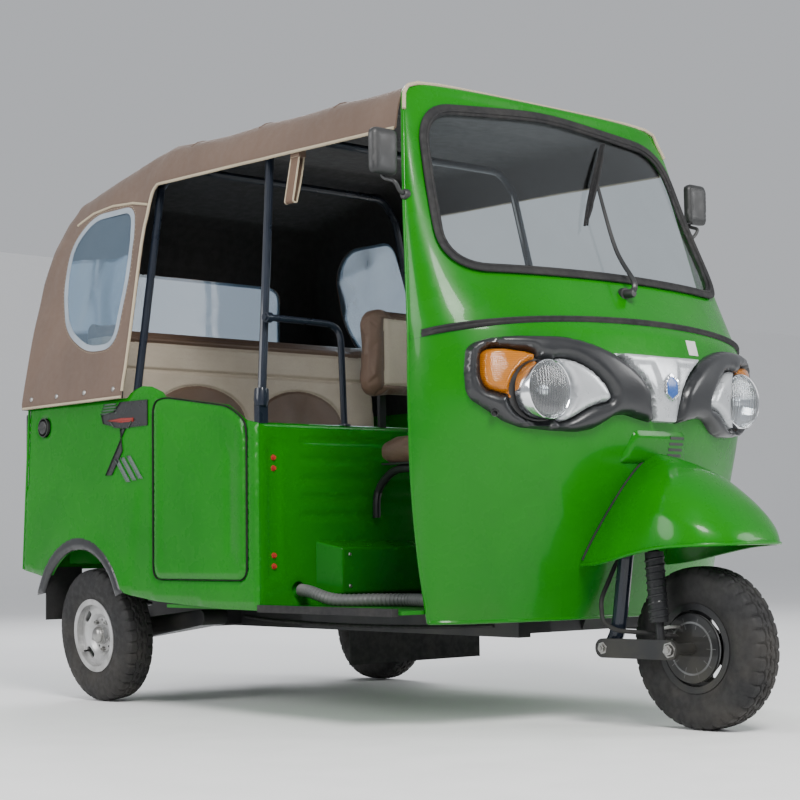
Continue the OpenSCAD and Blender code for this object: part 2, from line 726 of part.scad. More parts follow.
// Top point and foot point of each hoop from front to back, in side view
hoops = [
  [roof_front_y, roof_z - 14, roof_front_y, 0],
  [roof_front_y + 300, roof_z - 8, roof_front_y + 300, 0],
  [roof_front_y + 650, roof_z - 2, roof_front_y + 650, 0],
  [roof_front_y + 1000, roof_z + 4, roof_front_y + 1000, 0],
  [roof_front_y + 1115, roof_z + 12, roof_front_y + 1115, 0],
  [roof_front_y + 1200, roof_z - 2, roof_front_y + 1200, 0],
  [roof_front_y + 1400, roof_z - 40, roof_front_y + 1380, 0],
  [tub_rear_y - 130, roof_z - 92, tub_rear_y - 230, 0],
  [tub_rear_y - 80, roof_z - 130, tub_rear_y - 150, 0],
  [tub_rear_y - 30, roof_z - 200, tub_rear_y - 90, 0],
  [tub_rear_y - 4, roof_z - 290, tub_rear_y - 50, 0],
  [tub_rear_y + 2, roof_z - 420, tub_rear_y - 30, 0],
  [tub_rear_y + 0, roof_z - 600, tub_rear_y - 22, 0],
  [tub_rear_y - 10, roof_z - 760, tub_rear_y - 14, 0]
];
canopy_foot = belt_z - 8;
canopy_foot_half = half_w + canopy_t + SEAT;

// Half width of the canopy's side at height z
canopy_bend_z = belt_z + 12;
function canopy_half(z) =
  canopy_foot_half - (canopy_foot_half - roof_half_w) * max(0, min(1, (z - canopy_bend_z) / (1600 - canopy_bend_z)));

function hoop_ring(h, w) =
  let (foot = canopy_foot - w * 3, top = h[1] - w, bend = min(0.55, (canopy_bend_z - foot) / (top - foot)))
  [for (q = concat([[-1, 0], [-1, bend]], [for (i = [1 : 39]) let (a = 180 - 180 * i / 40) [cos(a), pow(sin(a), 0.2)]],
      [[1, bend], [1, 0]]))
    let (z = foot + (top - foot) * q[1], y = h[2] + (h[0] - h[2]) * q[1] - (h[2] > rear_axle_y + 200 ? w : 0))
      [(canopy_half(z) - w) * superell(q[0], 0.12), y, z]];

module canopy_body(w = 0, y_front = 0) {
  loft([for (i = [0 : len(hoops) - 1])
    let (h = hoops[i]) hoop_ring(i == 0 ? [h[0] - y_front, h[1], h[2] - y_front, 0] : h, w)]);
}

doorway = [
  [roof_front_y - 60, 800], [roof_front_y - 60, hem_z - 16], [roof_front_y + 600, hem_z],
  [tub_front_y + 660, hem_z + 12], [tub_front_y + 686, hem_z - 10],
  [tub_front_y + 698, hem_z - 120], [tub_front_y + 684, 1250], [tub_front_y + 672, 1028],
  [tub_front_y + 680, 800]
];

side_window = round_poly([
  [rear_axle_y - 122, 1560], [rear_axle_y - 152, 1340], [rear_axle_y - 130, 1112], [rear_axle_y + 20, 1112],
  [rear_axle_y + 165, 1185], [rear_axle_y + 225, 1320], [rear_axle_y + 228, 1480], [rear_axle_y + 130, 1562]
], 60);

rear_window = round_rect(-430, 1180, 430, 1440, 60);

module canopy() {
  color("#6e5546") difference() {
    canopy_body();
    canopy_body(canopy_t, 30);
    side_plate(doorway, -700, 700);
    side_plate(side_window, -700, 700);
    front_plate(rear_window, tub_rear_y - 200, tub_rear_y + 50);
  }
}

module canopy_windows() {
  color([0.8, 0.85, 0.9, 0.35]) intersection() {
    difference() { canopy_body(3); canopy_body(6, 30); }
    union() {
      side_plate(shrink(side_window, SEAT), -700, 700);
      front_plate(round_rect(-430 + SEAT, 1180 + SEAT, 430 - SEAT, 1440 - SEAT, 60 - SEAT),
        tub_rear_y - 120, tub_rear_y + 50);
    }
  }
}

post_r = 12.5;

module canopy_frame() {
  y = tub_front_y + bulkhead_t / 2;
  foot = [half_w - 28, y, bulk_top + 14];
  head = [roof_half_w - 40, roof_front_y + 600, hem_z + 20];
  rear_head = [roof_half_w - 48, tub_front_y + 706, hem_z + 10];
  color("#17191d") {
    both_sides() {
      pipe([foot, head], post_r);
      // foot bracket over the bulkhead's corner
      span([half_w - 44, tub_front_y, bulk_top], [half_w - 13, tub_front_y + bulkhead_t, bulk_top + 90]);
      pipe([[half_w - tub_wall - post_r - SEAT, tub_front_y + 656, belt_z - 60], rear_head], post_r);
      // rail across the top of the bulkhead
      pipe([[half_w - 40, y, 1128], [360, y, 1124], [330, y, 1098], [319, y, bulk_top + SEAT]], 10);
    }
    for (h = [head, rear_head])
      pipe([[-h[0], h[1], h[2]], [-h[0] + 56, h[1], roof_z - 52], [h[0] - 56, h[1], roof_z - 52], h], post_r);
  }
}

module grab_strap() {
  y = roof_front_y + 430;
  color("#7a5236") intersection() {
    difference() { canopy_body(canopy_t + SEAT, 20); canopy_body(canopy_t + SEAT + 4, 30); }
    span([-half_w, y, 1440], [0, y + 34, hem_z + 34]);
  }
}

// ================= chassis and running gear =================

ground_cut = front_axle_y - 20;

// Point on the steering axis at height z
function on_column(z) = [0, ground_cut + z * tan(rake), z];

module chassis() {
  color("#17181a") difference() {
    union() {
      for (s = [-1, 1]) {
        span([s * 260 - 22, cowl_foot_y - 60, floor_z - floor_t - 70], [s * 260 + 22, tub_rear_y - 80, floor_z - floor_t]);
        span([s * 260 - 22, seat_front_y + 12 + SEAT, floor_z - floor_t], [s * 260 + 22, tub_rear_y - 80, 357]);
        // pivot brackets of the trailing arms
        span([s * 308 - 26, rear_axle_y - 322, 240], [s * 308 + 26, rear_axle_y - 278, 300]);
      }
      for (y = [cowl_foot_y - 60, tub_front_y + 15, rear_axle_y - 320, tub_rear_y - 130])
        span([-240, y, floor_z - floor_t - 60], [240, y + 50, floor_z - floor_t - 4]);
      bar(on_column(560), on_column(820), column_r + 9);
      hull() {
        span([-40, cowl_foot_y - 60, floor_z - floor_t - 60], [40, cowl_foot_y - 20, floor_z - floor_t - 4]);
        translate(on_column(600) + [0, 24, 0]) rotate([0, 90, 0]) cylinder(r = 14, h = 60, center = true, $fn = 32);
      }
    }
    bar(on_column(500), on_column(900), column_r + RUN);
  }
}

module engine_block() {
  color("#4a4d50") span([-200, rear_axle_y + 40, 215], [200, tub_rear_y - 130 - SEAT, 430]);
}

hub_z = (tyre_r - 26) * cos(camber) + (tyre_w / 2 - 26) * sin(camber) + 26;

module rear_suspension() {
  color("#1b1c1f") both_sides() {
    // trailing arm, stub axle and spring unit
    translate([half_track, rear_axle_y, hub_z]) rotate([0, 90 + camber, 0])
      translate([0, 0, -150]) cylinder(r = axle_bore_r - RUN, h = 190);
    hull() {
      translate([half_track - 120, rear_axle_y, hub_z + 10]) sphere(r = 34, $fn = 32);
      translate([380, rear_axle_y - 300, 262]) rotate([0, 90, 0]) cylinder(r = 24, h = 90, center = true, $fn = 32);
    }
    bar([half_track - 130, rear_axle_y + 10, hub_z + 30], [half_track - 170, rear_axle_y + 60, 470], 26);
    bar([half_track - 170, rear_axle_y + 60, 470], [half_track - 182, rear_axle_y + 75, bench_top - 16], 12);
  }
}

// ================= wheels =================

// Half section of a tyre: rounded tread, bulging sidewalls
module tyre_section() {
  w = tyre_w / 2;
  polygon(concat(
    [[bead_r, -w + 10], [bead_r + 13.5, -w + 10], [bead_r + 34, -w + 1], [bead_r + 50, -w]],
    [[tyre_r - 34, -w + 1]],
    [for (a = [-90 : 15 : 0]) [tyre_r - 18 + 14 * cos(a), -w + 20 + 18 * sin(a)]],
    [for (a = [-20 : 5 : 20]) [tyre_r - 2.5 + 2.5 * cos(a * 4.5), (w - 18) * a / 20]],
    [for (a = [0 : 15 : 90]) [tyre_r - 18 + 14 * cos(a), w - 20 + 18 * sin(a)]],
    [[tyre_r - 34, w - 1]],
    [[bead_r + 50, w], [bead_r + 34, w - 1], [bead_r + 13.5, w - 10], [bead_r, w - 10]]
  ));
}

module tyre() { color("#1b1b1c") rotate_extrude($fn = 96) tyre_section(); }

// Pressed steel wheel; +Z is its outer face
module rim(paint) {
  w = tyre_w / 2 - 10;
  color(paint) difference() {
    rotate_extrude($fn = 96) polygon([
      [axle_bore_r, -34], [34, -34], [34, 6], [58, 6], [70, 16], [84, 22], [bead_r - 4, 22], [bead_r - 4, -w],
      [bead_r - 4, -w - 4], [bead_r + 13, -w - 4], [bead_r + 13, -w], [bead_r, -w], [bead_r, w],
      [bead_r + 13, w], [bead_r + 13, w + 4], [bead_r - 4, w + 4], [bead_r - 4, 28], [82, 28], [66, 22], [54, 12],
      [30, 12], [30, 26], [axle_bore_r, 26]
    ]);
    for (k = [0 : 3]) rotate([0, 0, 45 + 90 * k]) translate([80, 0, 0]) {
      for (t = [-14, 14]) translate([0, t, 0]) cylinder(r = 8, h = 40);
      translate([-8, -14, 0]) cube([16, 28, 40]);
    }
    for (k = [0 : 4]) rotate([0, 0, 72 * k]) translate([46, 0, 0]) cylinder(r = 4, h = 40);
  }
}

module rear_wheel_place(s) {
  translate([s * half_track, rear_axle_y, hub_z]) rotate([0, s * (90 + camber), 0]) children();
}

module front_wheel_place() { translate([0, front_axle_y, tyre_r]) rotate([0, -90, 0]) children(); }

module rear_tyre_right() { rear_wheel_place(-1) tyre(); }
module rear_tyre_left() { rear_wheel_place(1) tyre(); }
module rear_rim_right() { rear_wheel_place(-1) rim("#b9bcbe"); }
module rear_rim_left() { rear_wheel_place(1) rim("#b9bcbe"); }
module front_tyre() { front_wheel_place() tyre(); }
module front_rim() { front_wheel_place() rim("#1a1b1c"); }

// ================= steering =================

link_pivot = [-fork_x, -863, 206];

module steering_column() {
  top = on_column(1010);
  color("#17181c") {
    bar(on_column(520), top, column_r);
    // handlebar with grips
    bar(top + [-300, 40, 10], top + [300, 40, 10], 12);
    bar(top + [-60, 20, 0], top + [60, 20, 0], 22);
    hull() {
      translate(top) sphere(r = 30, $fn = 32);
      translate(top + [0, 40, 10]) rotate([0, 90, 0]) cylinder(r = 24, h = 90, center = true, $fn = 32);
    }
    // fork leg round one side of the wheel
    pipe([on_column(530), [-fork_x, front_axle_y + 160, 478], [-fork_x, link_pivot[1] - 30, 250], link_pivot], 20);
    // carrier of the spring unit's head
    bar([-fork_x, front_axle_y + 160, 478], [-fork_x, front_axle_y + 70, 506], 13);
  }
}

module front_suspension() {
  link_x = -fork_x - 26 - SEAT;
  spring_y = front_axle_y + 53;
  color("#202126") {
    // leading link, pivot pin and stub axle
    hull() for (y = [link_pivot[1], front_axle_y])
      translate([link_x, y, y == front_axle_y ? tyre_r : link_pivot[2]]) rotate([0, 90, 0])
        cylinder(r = 25, h = 12, center = true, $fn = 32);
    translate([link_x - 10, front_axle_y, tyre_r]) rotate([0, 90, 0])
      cylinder(r = axle_bore_r - RUN, h = -link_x + 10 + 40);
    // brake plate
    translate([-58, front_axle_y, tyre_r]) rotate([0, 90, 0]) cylinder(r = 88, h = 6);
    // spring unit
    bar([link_x + 5, spring_y, 212], [-fork_x + 12, spring_y, 212], 13);
    bar([-fork_x, spring_y, 212], [-fork_x, spring_y + 6, 300], 11);
    bar([-fork_x, spring_y + 4, 276], [-fork_x, spring_y + 16, 455], 24);
    bar([-fork_x, spring_y + 16, 450], [-fork_x, spring_y + 18, 478], 11);
  }
}

hose_pts = [
  [-62, -902, 470], [-86, -868, 430], [-132, -850, 330], [-146, -868, 272], [-144, -915, 252],
  [-112, -985, 248], [-90, -1040, 240], [-59.2, -1040, 238]
];

module brake_hose() { color("#2a2b2e") pipe(hose_pts, 6, 20); }

// ================= drawing =================

chassis();
cowl();
windscreen();
windscreen_seal();
waist_moulding();
lamp_fascia();
nose_garnish();
headlamps();
indicators();
front_mudguard();
wiper();
mirrors();
dashboard();
floor_pan();
sill_rubbers();
bulkhead();
floor_conduit();
driver_seat_frame();
driver_cushion();
driver_backrest();
tub_side_right();
tub_side_left();
tub_rear();
seat_box();
passenger_cushion();
passenger_backrest();
arch_trims();
mudflaps();
fuel_cap();
tail_lamps();
rear_bumper();
canopy();
canopy_windows();
canopy_frame();
grab_strap();
engine_block();
rear_suspension();
engine_hatch();
steering_column();
front_suspension();
brake_hose();
front_tyre();
front_rim();
rear_tyre_right();
rear_rim_right();
rear_tyre_left();
rear_rim_left();
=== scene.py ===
"""Looks of a three-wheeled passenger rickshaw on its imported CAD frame. Metres, front faces -Y, +X is its left."""
import math

import bmesh
import bpy
import numpy as np
from mathutils import Matrix, Vector
from mathutils.bvhtree import BVHTree
from mathutils.geometry import delaunay_2d_cdt


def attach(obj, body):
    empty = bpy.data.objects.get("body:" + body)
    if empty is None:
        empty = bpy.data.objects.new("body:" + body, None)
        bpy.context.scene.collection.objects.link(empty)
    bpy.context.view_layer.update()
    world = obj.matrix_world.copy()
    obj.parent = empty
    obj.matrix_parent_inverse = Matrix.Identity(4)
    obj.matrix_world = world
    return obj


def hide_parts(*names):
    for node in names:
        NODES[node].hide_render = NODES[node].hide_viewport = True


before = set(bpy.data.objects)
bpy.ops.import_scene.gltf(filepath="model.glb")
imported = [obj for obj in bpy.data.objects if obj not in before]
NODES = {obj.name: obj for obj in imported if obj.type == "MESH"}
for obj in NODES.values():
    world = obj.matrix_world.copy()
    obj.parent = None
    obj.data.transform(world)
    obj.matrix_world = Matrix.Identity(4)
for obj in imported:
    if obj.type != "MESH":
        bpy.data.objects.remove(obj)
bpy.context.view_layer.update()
MM = 0.001

# ---------------------------------------------------------------- camera, light, floor

right = Vector((0.7532845, -0.6575677, -0.0129293))
up = Vector((-0.0411399, -0.0667301, 0.9969226))
ahead = Vector((0.6564069, 0.7504344, 0.0773190))
stand = (-3.6660, -4.1004, 0.4932)
camera = bpy.data.objects.new("camera", bpy.data.cameras.new("camera"))
bpy.context.scene.collection.objects.link(camera)
camera.data.sensor_width = 36
camera.data.lens = 81.375
camera.matrix_world = Matrix((
    (right.x, up.x, -ahead.x, stand[0]),
    (right.y, up.y, -ahead.y, stand[1]),
    (right.z, up.z, -ahead.z, stand[2]),
    (0, 0, 0, 1),
))
bpy.context.scene.camera = camera


def area_light(name, at, to, size, watts, colour=(1, 1, 1)):
    data = bpy.data.lights.new(name, "AREA")
    data.shape, data.size, data.energy, data.color = "DISK", size, watts, colour
    o = bpy.data.objects.new(name, data)
    bpy.context.scene.collection.objects.link(o)
    o.location = at
    o.rotation_euler = (Vector(to) - Vector(at)).to_track_quat("-Z", "Y").to_euler()


area_light("key", (-2.4, -4.6, 4.6), (0, -0.4, 0.8), 2.2, 420, (1.0, 0.985, 0.96))
area_light("side", (-5.2, 1.2, 2.6), (0, 0.4, 0.7), 2.8, 150)
area_light("front_left", (3.4, -4.4, 2.6), (0, -0.6, 0.8), 2.4, 110)
area_light("back", (2.6, 4.4, 4.2), (0, 0.4, 0.9), 3.0, 190, (0.97, 0.985, 1.0))

world = bpy.data.worlds.new("studio")
bpy.context.scene.world = world
world.use_nodes = True
world.node_tree.nodes["Background"].inputs["Color"].default_value = (0.93, 0.955, 1.0, 1)
world.node_tree.nodes["Background"].inputs["Strength"].default_value = 0.55


# ---------------------------------------------------------------- materials

class Shade:
    """A Principled material whose colour, roughness and relief come from noise in the object's own coordinates."""

    def __init__(self, name, **sockets):
        self.mat = bpy.data.materials.new(name)
        self.mat.use_nodes = True
        self.tree = self.mat.node_tree
        self.bsdf = self.tree.nodes["Principled BSDF"]
        self.space = self.tree.nodes.new("ShaderNodeTexCoord").outputs["Object"]
        self.bump = None
        for key, value in sockets.items():
            self.bsdf.inputs[key.replace("_", " ")].default_value = value

    def node(self, kind, inputs=(), **props):
        n = self.tree.nodes.new(kind)
        for k, v in props.items():
            setattr(n, k, v)
        for key, value in dict(inputs).items():
            if isinstance(value, bpy.types.NodeSocket):
                self.tree.links.new(value, n.inputs[key])
            else:
                n.inputs[key].default_value = value
        return n

    def noise(self, scale, detail=3.0, stretch=None, rough=0.55):
        space = self.space
        if stretch:
            space = self.node("ShaderNodeMapping", {"Vector": space, "Scale": stretch}).outputs[0]
        return self.node("ShaderNodeTexNoise",
                         {"Vector": space, "Scale": scale, "Detail": detail, "Roughness": rough}).outputs["Fac"]

    def cells(self, scale, feature="F1"):
        return self.node("ShaderNodeTexVoronoi", {"Vector": self.space, "Scale": scale},
                         feature=feature).outputs["Distance"]

    def wave(self, scale, axis, distortion=0.0):
        return self.node("ShaderNodeTexWave", {"Vector": self.space, "Scale": scale, "Distortion": distortion},
                         bands_direction=axis).outputs["Fac"]

    def axis(self, k):
        return self.node("ShaderNodeSeparateXYZ", {"Vector": self.space}).outputs[k]

    def math(self, op, a, b=0.0, clamp=False):
        return self.node("ShaderNodeMath", {0: a, 1: b}, operation=op, use_clamp=clamp).outputs[0]

    def span(self, fac, lo, hi, a=0.0, b=1.0, smooth=True):
        n = self.node("ShaderNodeMapRange", {"Value": fac, "From Min": lo, "From Max": hi, "To Min": a, "To Max": b},
                      interpolation_type="SMOOTHSTEP" if smooth else "LINEAR")
        return n.outputs["Result"]

    def mix(self, fac, a, b):
        n = self.node("ShaderNodeMix", data_type="RGBA")
        for s, v in ((n.inputs[0], fac), (n.inputs[6], a), (n.inputs[7], b)):
            if isinstance(v, bpy.types.NodeSocket):
                self.tree.links.new(v, s)
            else:
                s.default_value = (*v, 1) if isinstance(v, tuple) and len(v) == 3 else v
        return n.outputs[2]

    def colour(self, socket):
        self.tree.links.new(socket, self.bsdf.inputs["Base Color"])
        return self

    def roughness(self, fac, a, b):
        self.tree.links.new(self.span(fac, 0.3, 0.7, a, b), self.bsdf.inputs["Roughness"])
        return self

    def relief(self, height, depth, strength=1.0):
        n = self.node("ShaderNodeBump", {"Height": height, "Distance": depth, "Strength": strength})
        if self.bump:
            self.tree.links.new(self.bump, n.inputs["Normal"])
        self.bump = n.outputs["Normal"]
        self.tree.links.new(self.bump, self.bsdf.inputs["Normal"])
        return self


def dusty(s, clean, dust, top=0.42, amount=0.5):
    """Road dust that thickens towards the ground, broken up by noise."""
    low = s.span(s.axis(2), 0.12, top, amount, 0.0)
    fac = s.math("MULTIPLY", low, s.span(s.noise(9, 5), 0.35, 0.7), True)
    return s.mix(fac, clean, dust)


def paint(name, base, deep, coat=0.7, rough=(0.22, 0.34), dust=True):
    s = Shade(name, Coat_Weight=coat, Coat_Roughness=0.05, Specular_IOR_Level=0.18)
    c = s.mix(s.span(s.noise(2.3, 4), 0.3, 0.7), base, deep)
    fleck = s.span(s.noise(620, 2), 0.62, 0.75, 0.0, 0.12)
    c = s.mix(fleck, c, tuple(min(1, v * 1.6 + 0.004) for v in base))
    s.colour(dusty(s, c, (0.09, 0.08, 0.05), 0.40, 0.22) if dust else c)
    s.roughness(s.noise(14, 5), *rough)
    return s.relief(s.noise(430, 2), 0.00006, 0.5).relief(s.noise(5.5, 2), 0.0016, 0.35).mat


def plastic(name, base, worn, rough=(0.38, 0.55), grain=900, depth=0.00012, coat=0.0, specular=0.5):
    s = Shade(name, Coat_Weight=coat, Coat_Roughness=0.12, Specular_IOR_Level=specular)
    c = s.mix(s.span(s.noise(7, 5), 0.35, 0.75), base, worn)
    s.colour(dusty(s, c, (0.09, 0.08, 0.065), 0.42, 0.18))
    s.roughness(s.noise(25, 4), *rough)
    return s.relief(s.cells(grain), depth, 0.6).mat


def metal(name, base, worn, rough=(0.3, 0.45), metallic=0.9, brush=(6, 6, 260), depth=0.00005):
    s = Shade(name, Metallic=metallic)
    s.colour(dusty(s, s.mix(s.span(s.noise(18, 6), 0.4, 0.75), base, worn), (0.13, 0.11, 0.085), 0.40, 0.2))
    s.roughness(s.noise(30, 5), *rough)
    return s.relief(s.noise(1, 3, brush), depth, 0.5).mat


def vinyl(name, base, deep, scale=520, rough=(0.42, 0.6)):
    s = Shade(name, Specular_IOR_Level=0.42, Sheen_Weight=0.06)
    c = s.mix(s.span(s.noise(5, 5), 0.3, 0.75), base, deep)
    pit = s.span(s.cells(scale, "DISTANCE_TO_EDGE"), 0.0, 0.11)
    c = s.mix(pit, tuple(v * 0.72 for v in deep), c)
    s.colour(c)
    s.roughness(s.noise(11, 4), *rough)
    return s.relief(pit, 0.00022, 0.55).relief(s.noise(16, 4), 0.0011, 0.5).mat


def canvas(name, base, deep, weave=1450):
    s = Shade(name, Specular_IOR_Level=0.25, Sheen_Weight=0.12, Sheen_Roughness=0.5)
    yarn = s.math("MULTIPLY", s.wave(weave, "DIAGONAL"), s.wave(weave, "Z"))
    c = s.mix(s.span(s.noise(3.2, 6), 0.28, 0.72), base, deep)
    c = s.mix(s.span(yarn, 0.0, 0.5, 0.35, 0.0), c, tuple(v * 0.55 for v in deep))
    c = s.mix(s.span(s.noise(1, 5, (3, 3, 18)), 0.62, 0.85, 0.0, 0.35), c, tuple(min(1, v * 1.35) for v in base))
    s.colour(c)
    s.roughness(s.noise(40, 3), 0.62, 0.82)
    return s.relief(yarn, 0.00028, 0.6).relief(s.noise(13, 5), 0.0022, 0.55).mat


def rubber(name, base, worn, dust=0.5):
    s = Shade(name, Specular_IOR_Level=0.35)
    c = s.mix(s.span(s.noise(12, 6), 0.35, 0.8), base, worn)
    s.colour(dusty(s, c, (0.045, 0.04, 0.034), 0.40, dust))
    s.roughness(s.noise(60, 4), 0.6, 0.85)
    return s.relief(s.noise(700, 3), 0.00018, 0.6).mat


def clear(name, tint, rough, transmission=1.0, smear=0.0, ior=1.45):
    s = Shade(name, Transmission_Weight=transmission, IOR=ior)
    s.colour(s.mix(s.span(s.noise(4, 4), 0.3, 0.8), tint, tuple(v * 0.93 for v in tint)))
    s.roughness(s.noise(1, 6, (3, 9, 30)), rough, rough + smear)
    return s.relief(s.noise(3.0, 2), 0.0006, 0.3).mat


def lens(name, tint, pitch, axis="X", transmission=0.75):
    s = Shade(name, Transmission_Weight=transmission, IOR=1.49)
    flute = s.wave(pitch, axis)
    s.colour(s.mix(s.span(flute, 0.2, 0.8), tint, tuple(v * 0.8 for v in tint)))
    s.roughness(s.noise(35, 3), 0.04, 0.12)
    return s.relief(flute, 0.0009, 0.5).mat


M = {
    "green": paint("green_paint", (0.003, 0.172, 0.0016), (0.0024, 0.142, 0.0012), 0.20, (0.22, 0.34)),
    "green_inner": paint("green_inner", (0.010, 0.185, 0.008), (0.007, 0.14, 0.006), 0.25, (0.35, 0.5)),
    "black_paint": paint("black_paint", (0.013, 0.014, 0.016), (0.02, 0.02, 0.021), 0.25, (0.32, 0.5)),
    "tube": paint("dark_tube", (0.012, 0.017, 0.028), (0.008, 0.011, 0.018), 0.45, (0.25, 0.4), False),
    "gloss_black": plastic("gloss_black", (0.010, 0.011, 0.013), (0.015, 0.016, 0.018), (0.3, 0.4), 700, 0.00005,
                           0.25),
    "black_plastic": plastic("black_plastic", (0.017, 0.018, 0.019), (0.034, 0.034, 0.034), (0.36, 0.54)),
    "rubber": rubber("black_rubber", (0.012, 0.012, 0.013), (0.024, 0.023, 0.022), 0.3),
    "tyre": rubber("tyre_rubber", (0.013, 0.013, 0.014), (0.026, 0.025, 0.024), 0.55),
    "silver": metal("silver_plastic", (0.56, 0.58, 0.60), (0.47, 0.49, 0.51), (0.26, 0.36), 0.55, (40, 40, 40),
                    0.00003),
    "rim": metal("silver_rim", (0.50, 0.50, 0.50), (0.36, 0.36, 0.355), (0.34, 0.5), 0.6, (30, 30, 30)),
    "chrome": metal("reflector", (0.86, 0.88, 0.9), (0.74, 0.76, 0.79), (0.06, 0.14), 1.0, (8, 8, 8), 0.00001),
    "steel": metal("zinc_steel", (0.42, 0.42, 0.41), (0.27, 0.26, 0.25), (0.32, 0.5), 1.0, (20, 20, 20)),
    "alloy": metal("cast_alloy", (0.17, 0.175, 0.18), (0.08, 0.08, 0.08), (0.5, 0.7), 0.7, (90, 90, 90), 0.0004),
    "canvas": canvas("brown_canvas", (0.150, 0.098, 0.072), (0.118, 0.078, 0.058)),
    # nearly black inner cloth of the canopy: painted shade of the interior under the roof
    "painted_shade_ceiling": canvas("painted_shade_ceiling_cloth", (0.016, 0.013, 0.012), (0.010, 0.009, 0.008)),
    "piping": vinyl("cream_piping", (0.52, 0.44, 0.31), (0.42, 0.35, 0.24), 900),
    "brown": vinyl("brown_vinyl", (0.120, 0.070, 0.043), (0.088, 0.052, 0.033)),
    "cream": vinyl("cream_vinyl", (0.48, 0.41, 0.32), (0.38, 0.32, 0.245)),
    "strap": vinyl("strap_vinyl", (0.155, 0.088, 0.052), (0.11, 0.064, 0.04)),
    "glass": clear("windscreen_glass", (0.80, 0.88, 0.91), 0.0, 1.0, 0.03),
    "sheet": clear("clear_sheet", (0.36, 0.52, 0.70), 0.04, 0.82, 0.06, 1.3),
    "border": plastic("welded_border", (0.33, 0.38, 0.43), (0.24, 0.28, 0.33), (0.3, 0.5)),
    "mirror": metal("mirror_glass", (0.82, 0.85, 0.88), (0.78, 0.81, 0.84), (0.0, 0.03), 1.0, (4, 4, 4), 0.0),
    "lamp": lens("lamp_lens", (0.93, 0.96, 0.98), 34, "X", 0.95),
    "amber": lens("amber_lens", (0.95, 0.31, 0.015), 62, "Z", 0.55),
    "red": lens("red_lens", (0.62, 0.012, 0.01), 60, "X", 0.45),
    "blue": plastic("badge_blue", (0.012, 0.075, 0.30), (0.02, 0.09, 0.33), (0.2, 0.3), 900, 0.00002, 0.5),
    "white": plastic("white_label", (0.62, 0.62, 0.61), (0.5, 0.5, 0.49), (0.35, 0.5), 900, 0.00002),
    "red_bolt": plastic("red_bolt", (0.40, 0.03, 0.02), (0.28, 0.02, 0.015), (0.35, 0.5), 900, 0.00002),
    "decal": plastic("decal_black", (0.011, 0.012, 0.013), (0.02, 0.02, 0.021), (0.25, 0.35), 900, 0.00001, 0.4),
    "decal_grey": plastic("decal_grey", (0.13, 0.17, 0.15), (0.10, 0.14, 0.12), (0.25, 0.35), 900, 0.00001, 0.4),
    "decal_red": plastic("decal_red", (0.35, 0.03, 0.02), (0.27, 0.02, 0.02), (0.25, 0.35), 900, 0.00001, 0.4),
    "conduit": plastic("grey_conduit", (0.085, 0.088, 0.09), (0.15, 0.15, 0.145), (0.4, 0.6)),
}


# ---------------------------------------------------------------- mesh helpers

def piece(name, verts, faces, mat, body="vehicle", slot=None, replaces=(), sharp=38):
    me = bpy.data.meshes.new(name)
    me.from_pydata([tuple(v) for v in verts], [], [tuple(f) for f in faces])
    bm = bmesh.new()
    bm.from_mesh(me)
    bmesh.ops.remove_doubles(bm, verts=bm.verts, dist=1e-5)
    bmesh.ops.recalc_face_normals(bm, faces=bm.faces)
    bm.to_mesh(me)
    bm.free()
    return finish_piece(name, me, mat, body, slot, replaces, sharp)


def finish_piece(name, me, mat, body="vehicle", slot=None, replaces=(), sharp=38):
    o = bpy.data.objects.new(name, me)
    bpy.context.scene.collection.objects.link(o)
    if mat is not None:
        me.materials.clear()
        for m in mat if isinstance(mat, (list, tuple)) else [mat]:
            me.materials.append(M[m])
    me.shade_smooth()
    if sharp:
        me.set_sharp_from_angle(angle=math.radians(sharp))
    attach(o, body)
    if replaces:
        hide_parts(*replaces)
    return o


def join(parts):
    """One vertex list and face list from several."""
    verts, faces = [], []
    for v, f in parts:
        n = len(verts)
        verts += [tuple(p) for p in v]
        faces += [tuple(i + n for i in g) for g in f]
    return verts, faces


def apply(o):
    deps = bpy.context.evaluated_depsgraph_get()
    deps.update()
    me = bpy.data.meshes.new_from_object(o.evaluated_get(deps), depsgraph=deps)
    old = o.data
    o.modifiers.clear()
    o.data = me
    if old.users == 0:
        bpy.data.meshes.remove(old)
    return o


def modify(o, kind, **props):
    m = o.modifiers.new(kind.lower(), kind)
    for k, v in props.items():
        setattr(m, k, v)
    return m


def smooth_path(pts, steps=8, closed=False):
    """Catmull-Rom curve through the points."""
    p = [Vector(q) for q in pts]
    n = len(p)
    out = []
    for i in range(n if closed else n - 1):
        a, b = p[(i - 1) % n] if closed or i else p[0], p[i]
        c = p[(i + 1) % n]
        d = p[(i + 2) % n] if closed or i + 2 < n else p[-1]
        for k in range(steps):
            t = k / steps
            out.append(0.5 * ((2 * b) + (c - a) * t + (2 * a - 5 * b + 4 * c - d) * t * t
                              + (3 * b - a - 3 * c + d) * t ** 3))
    if not closed:
        out.append(p[-1])
    return out


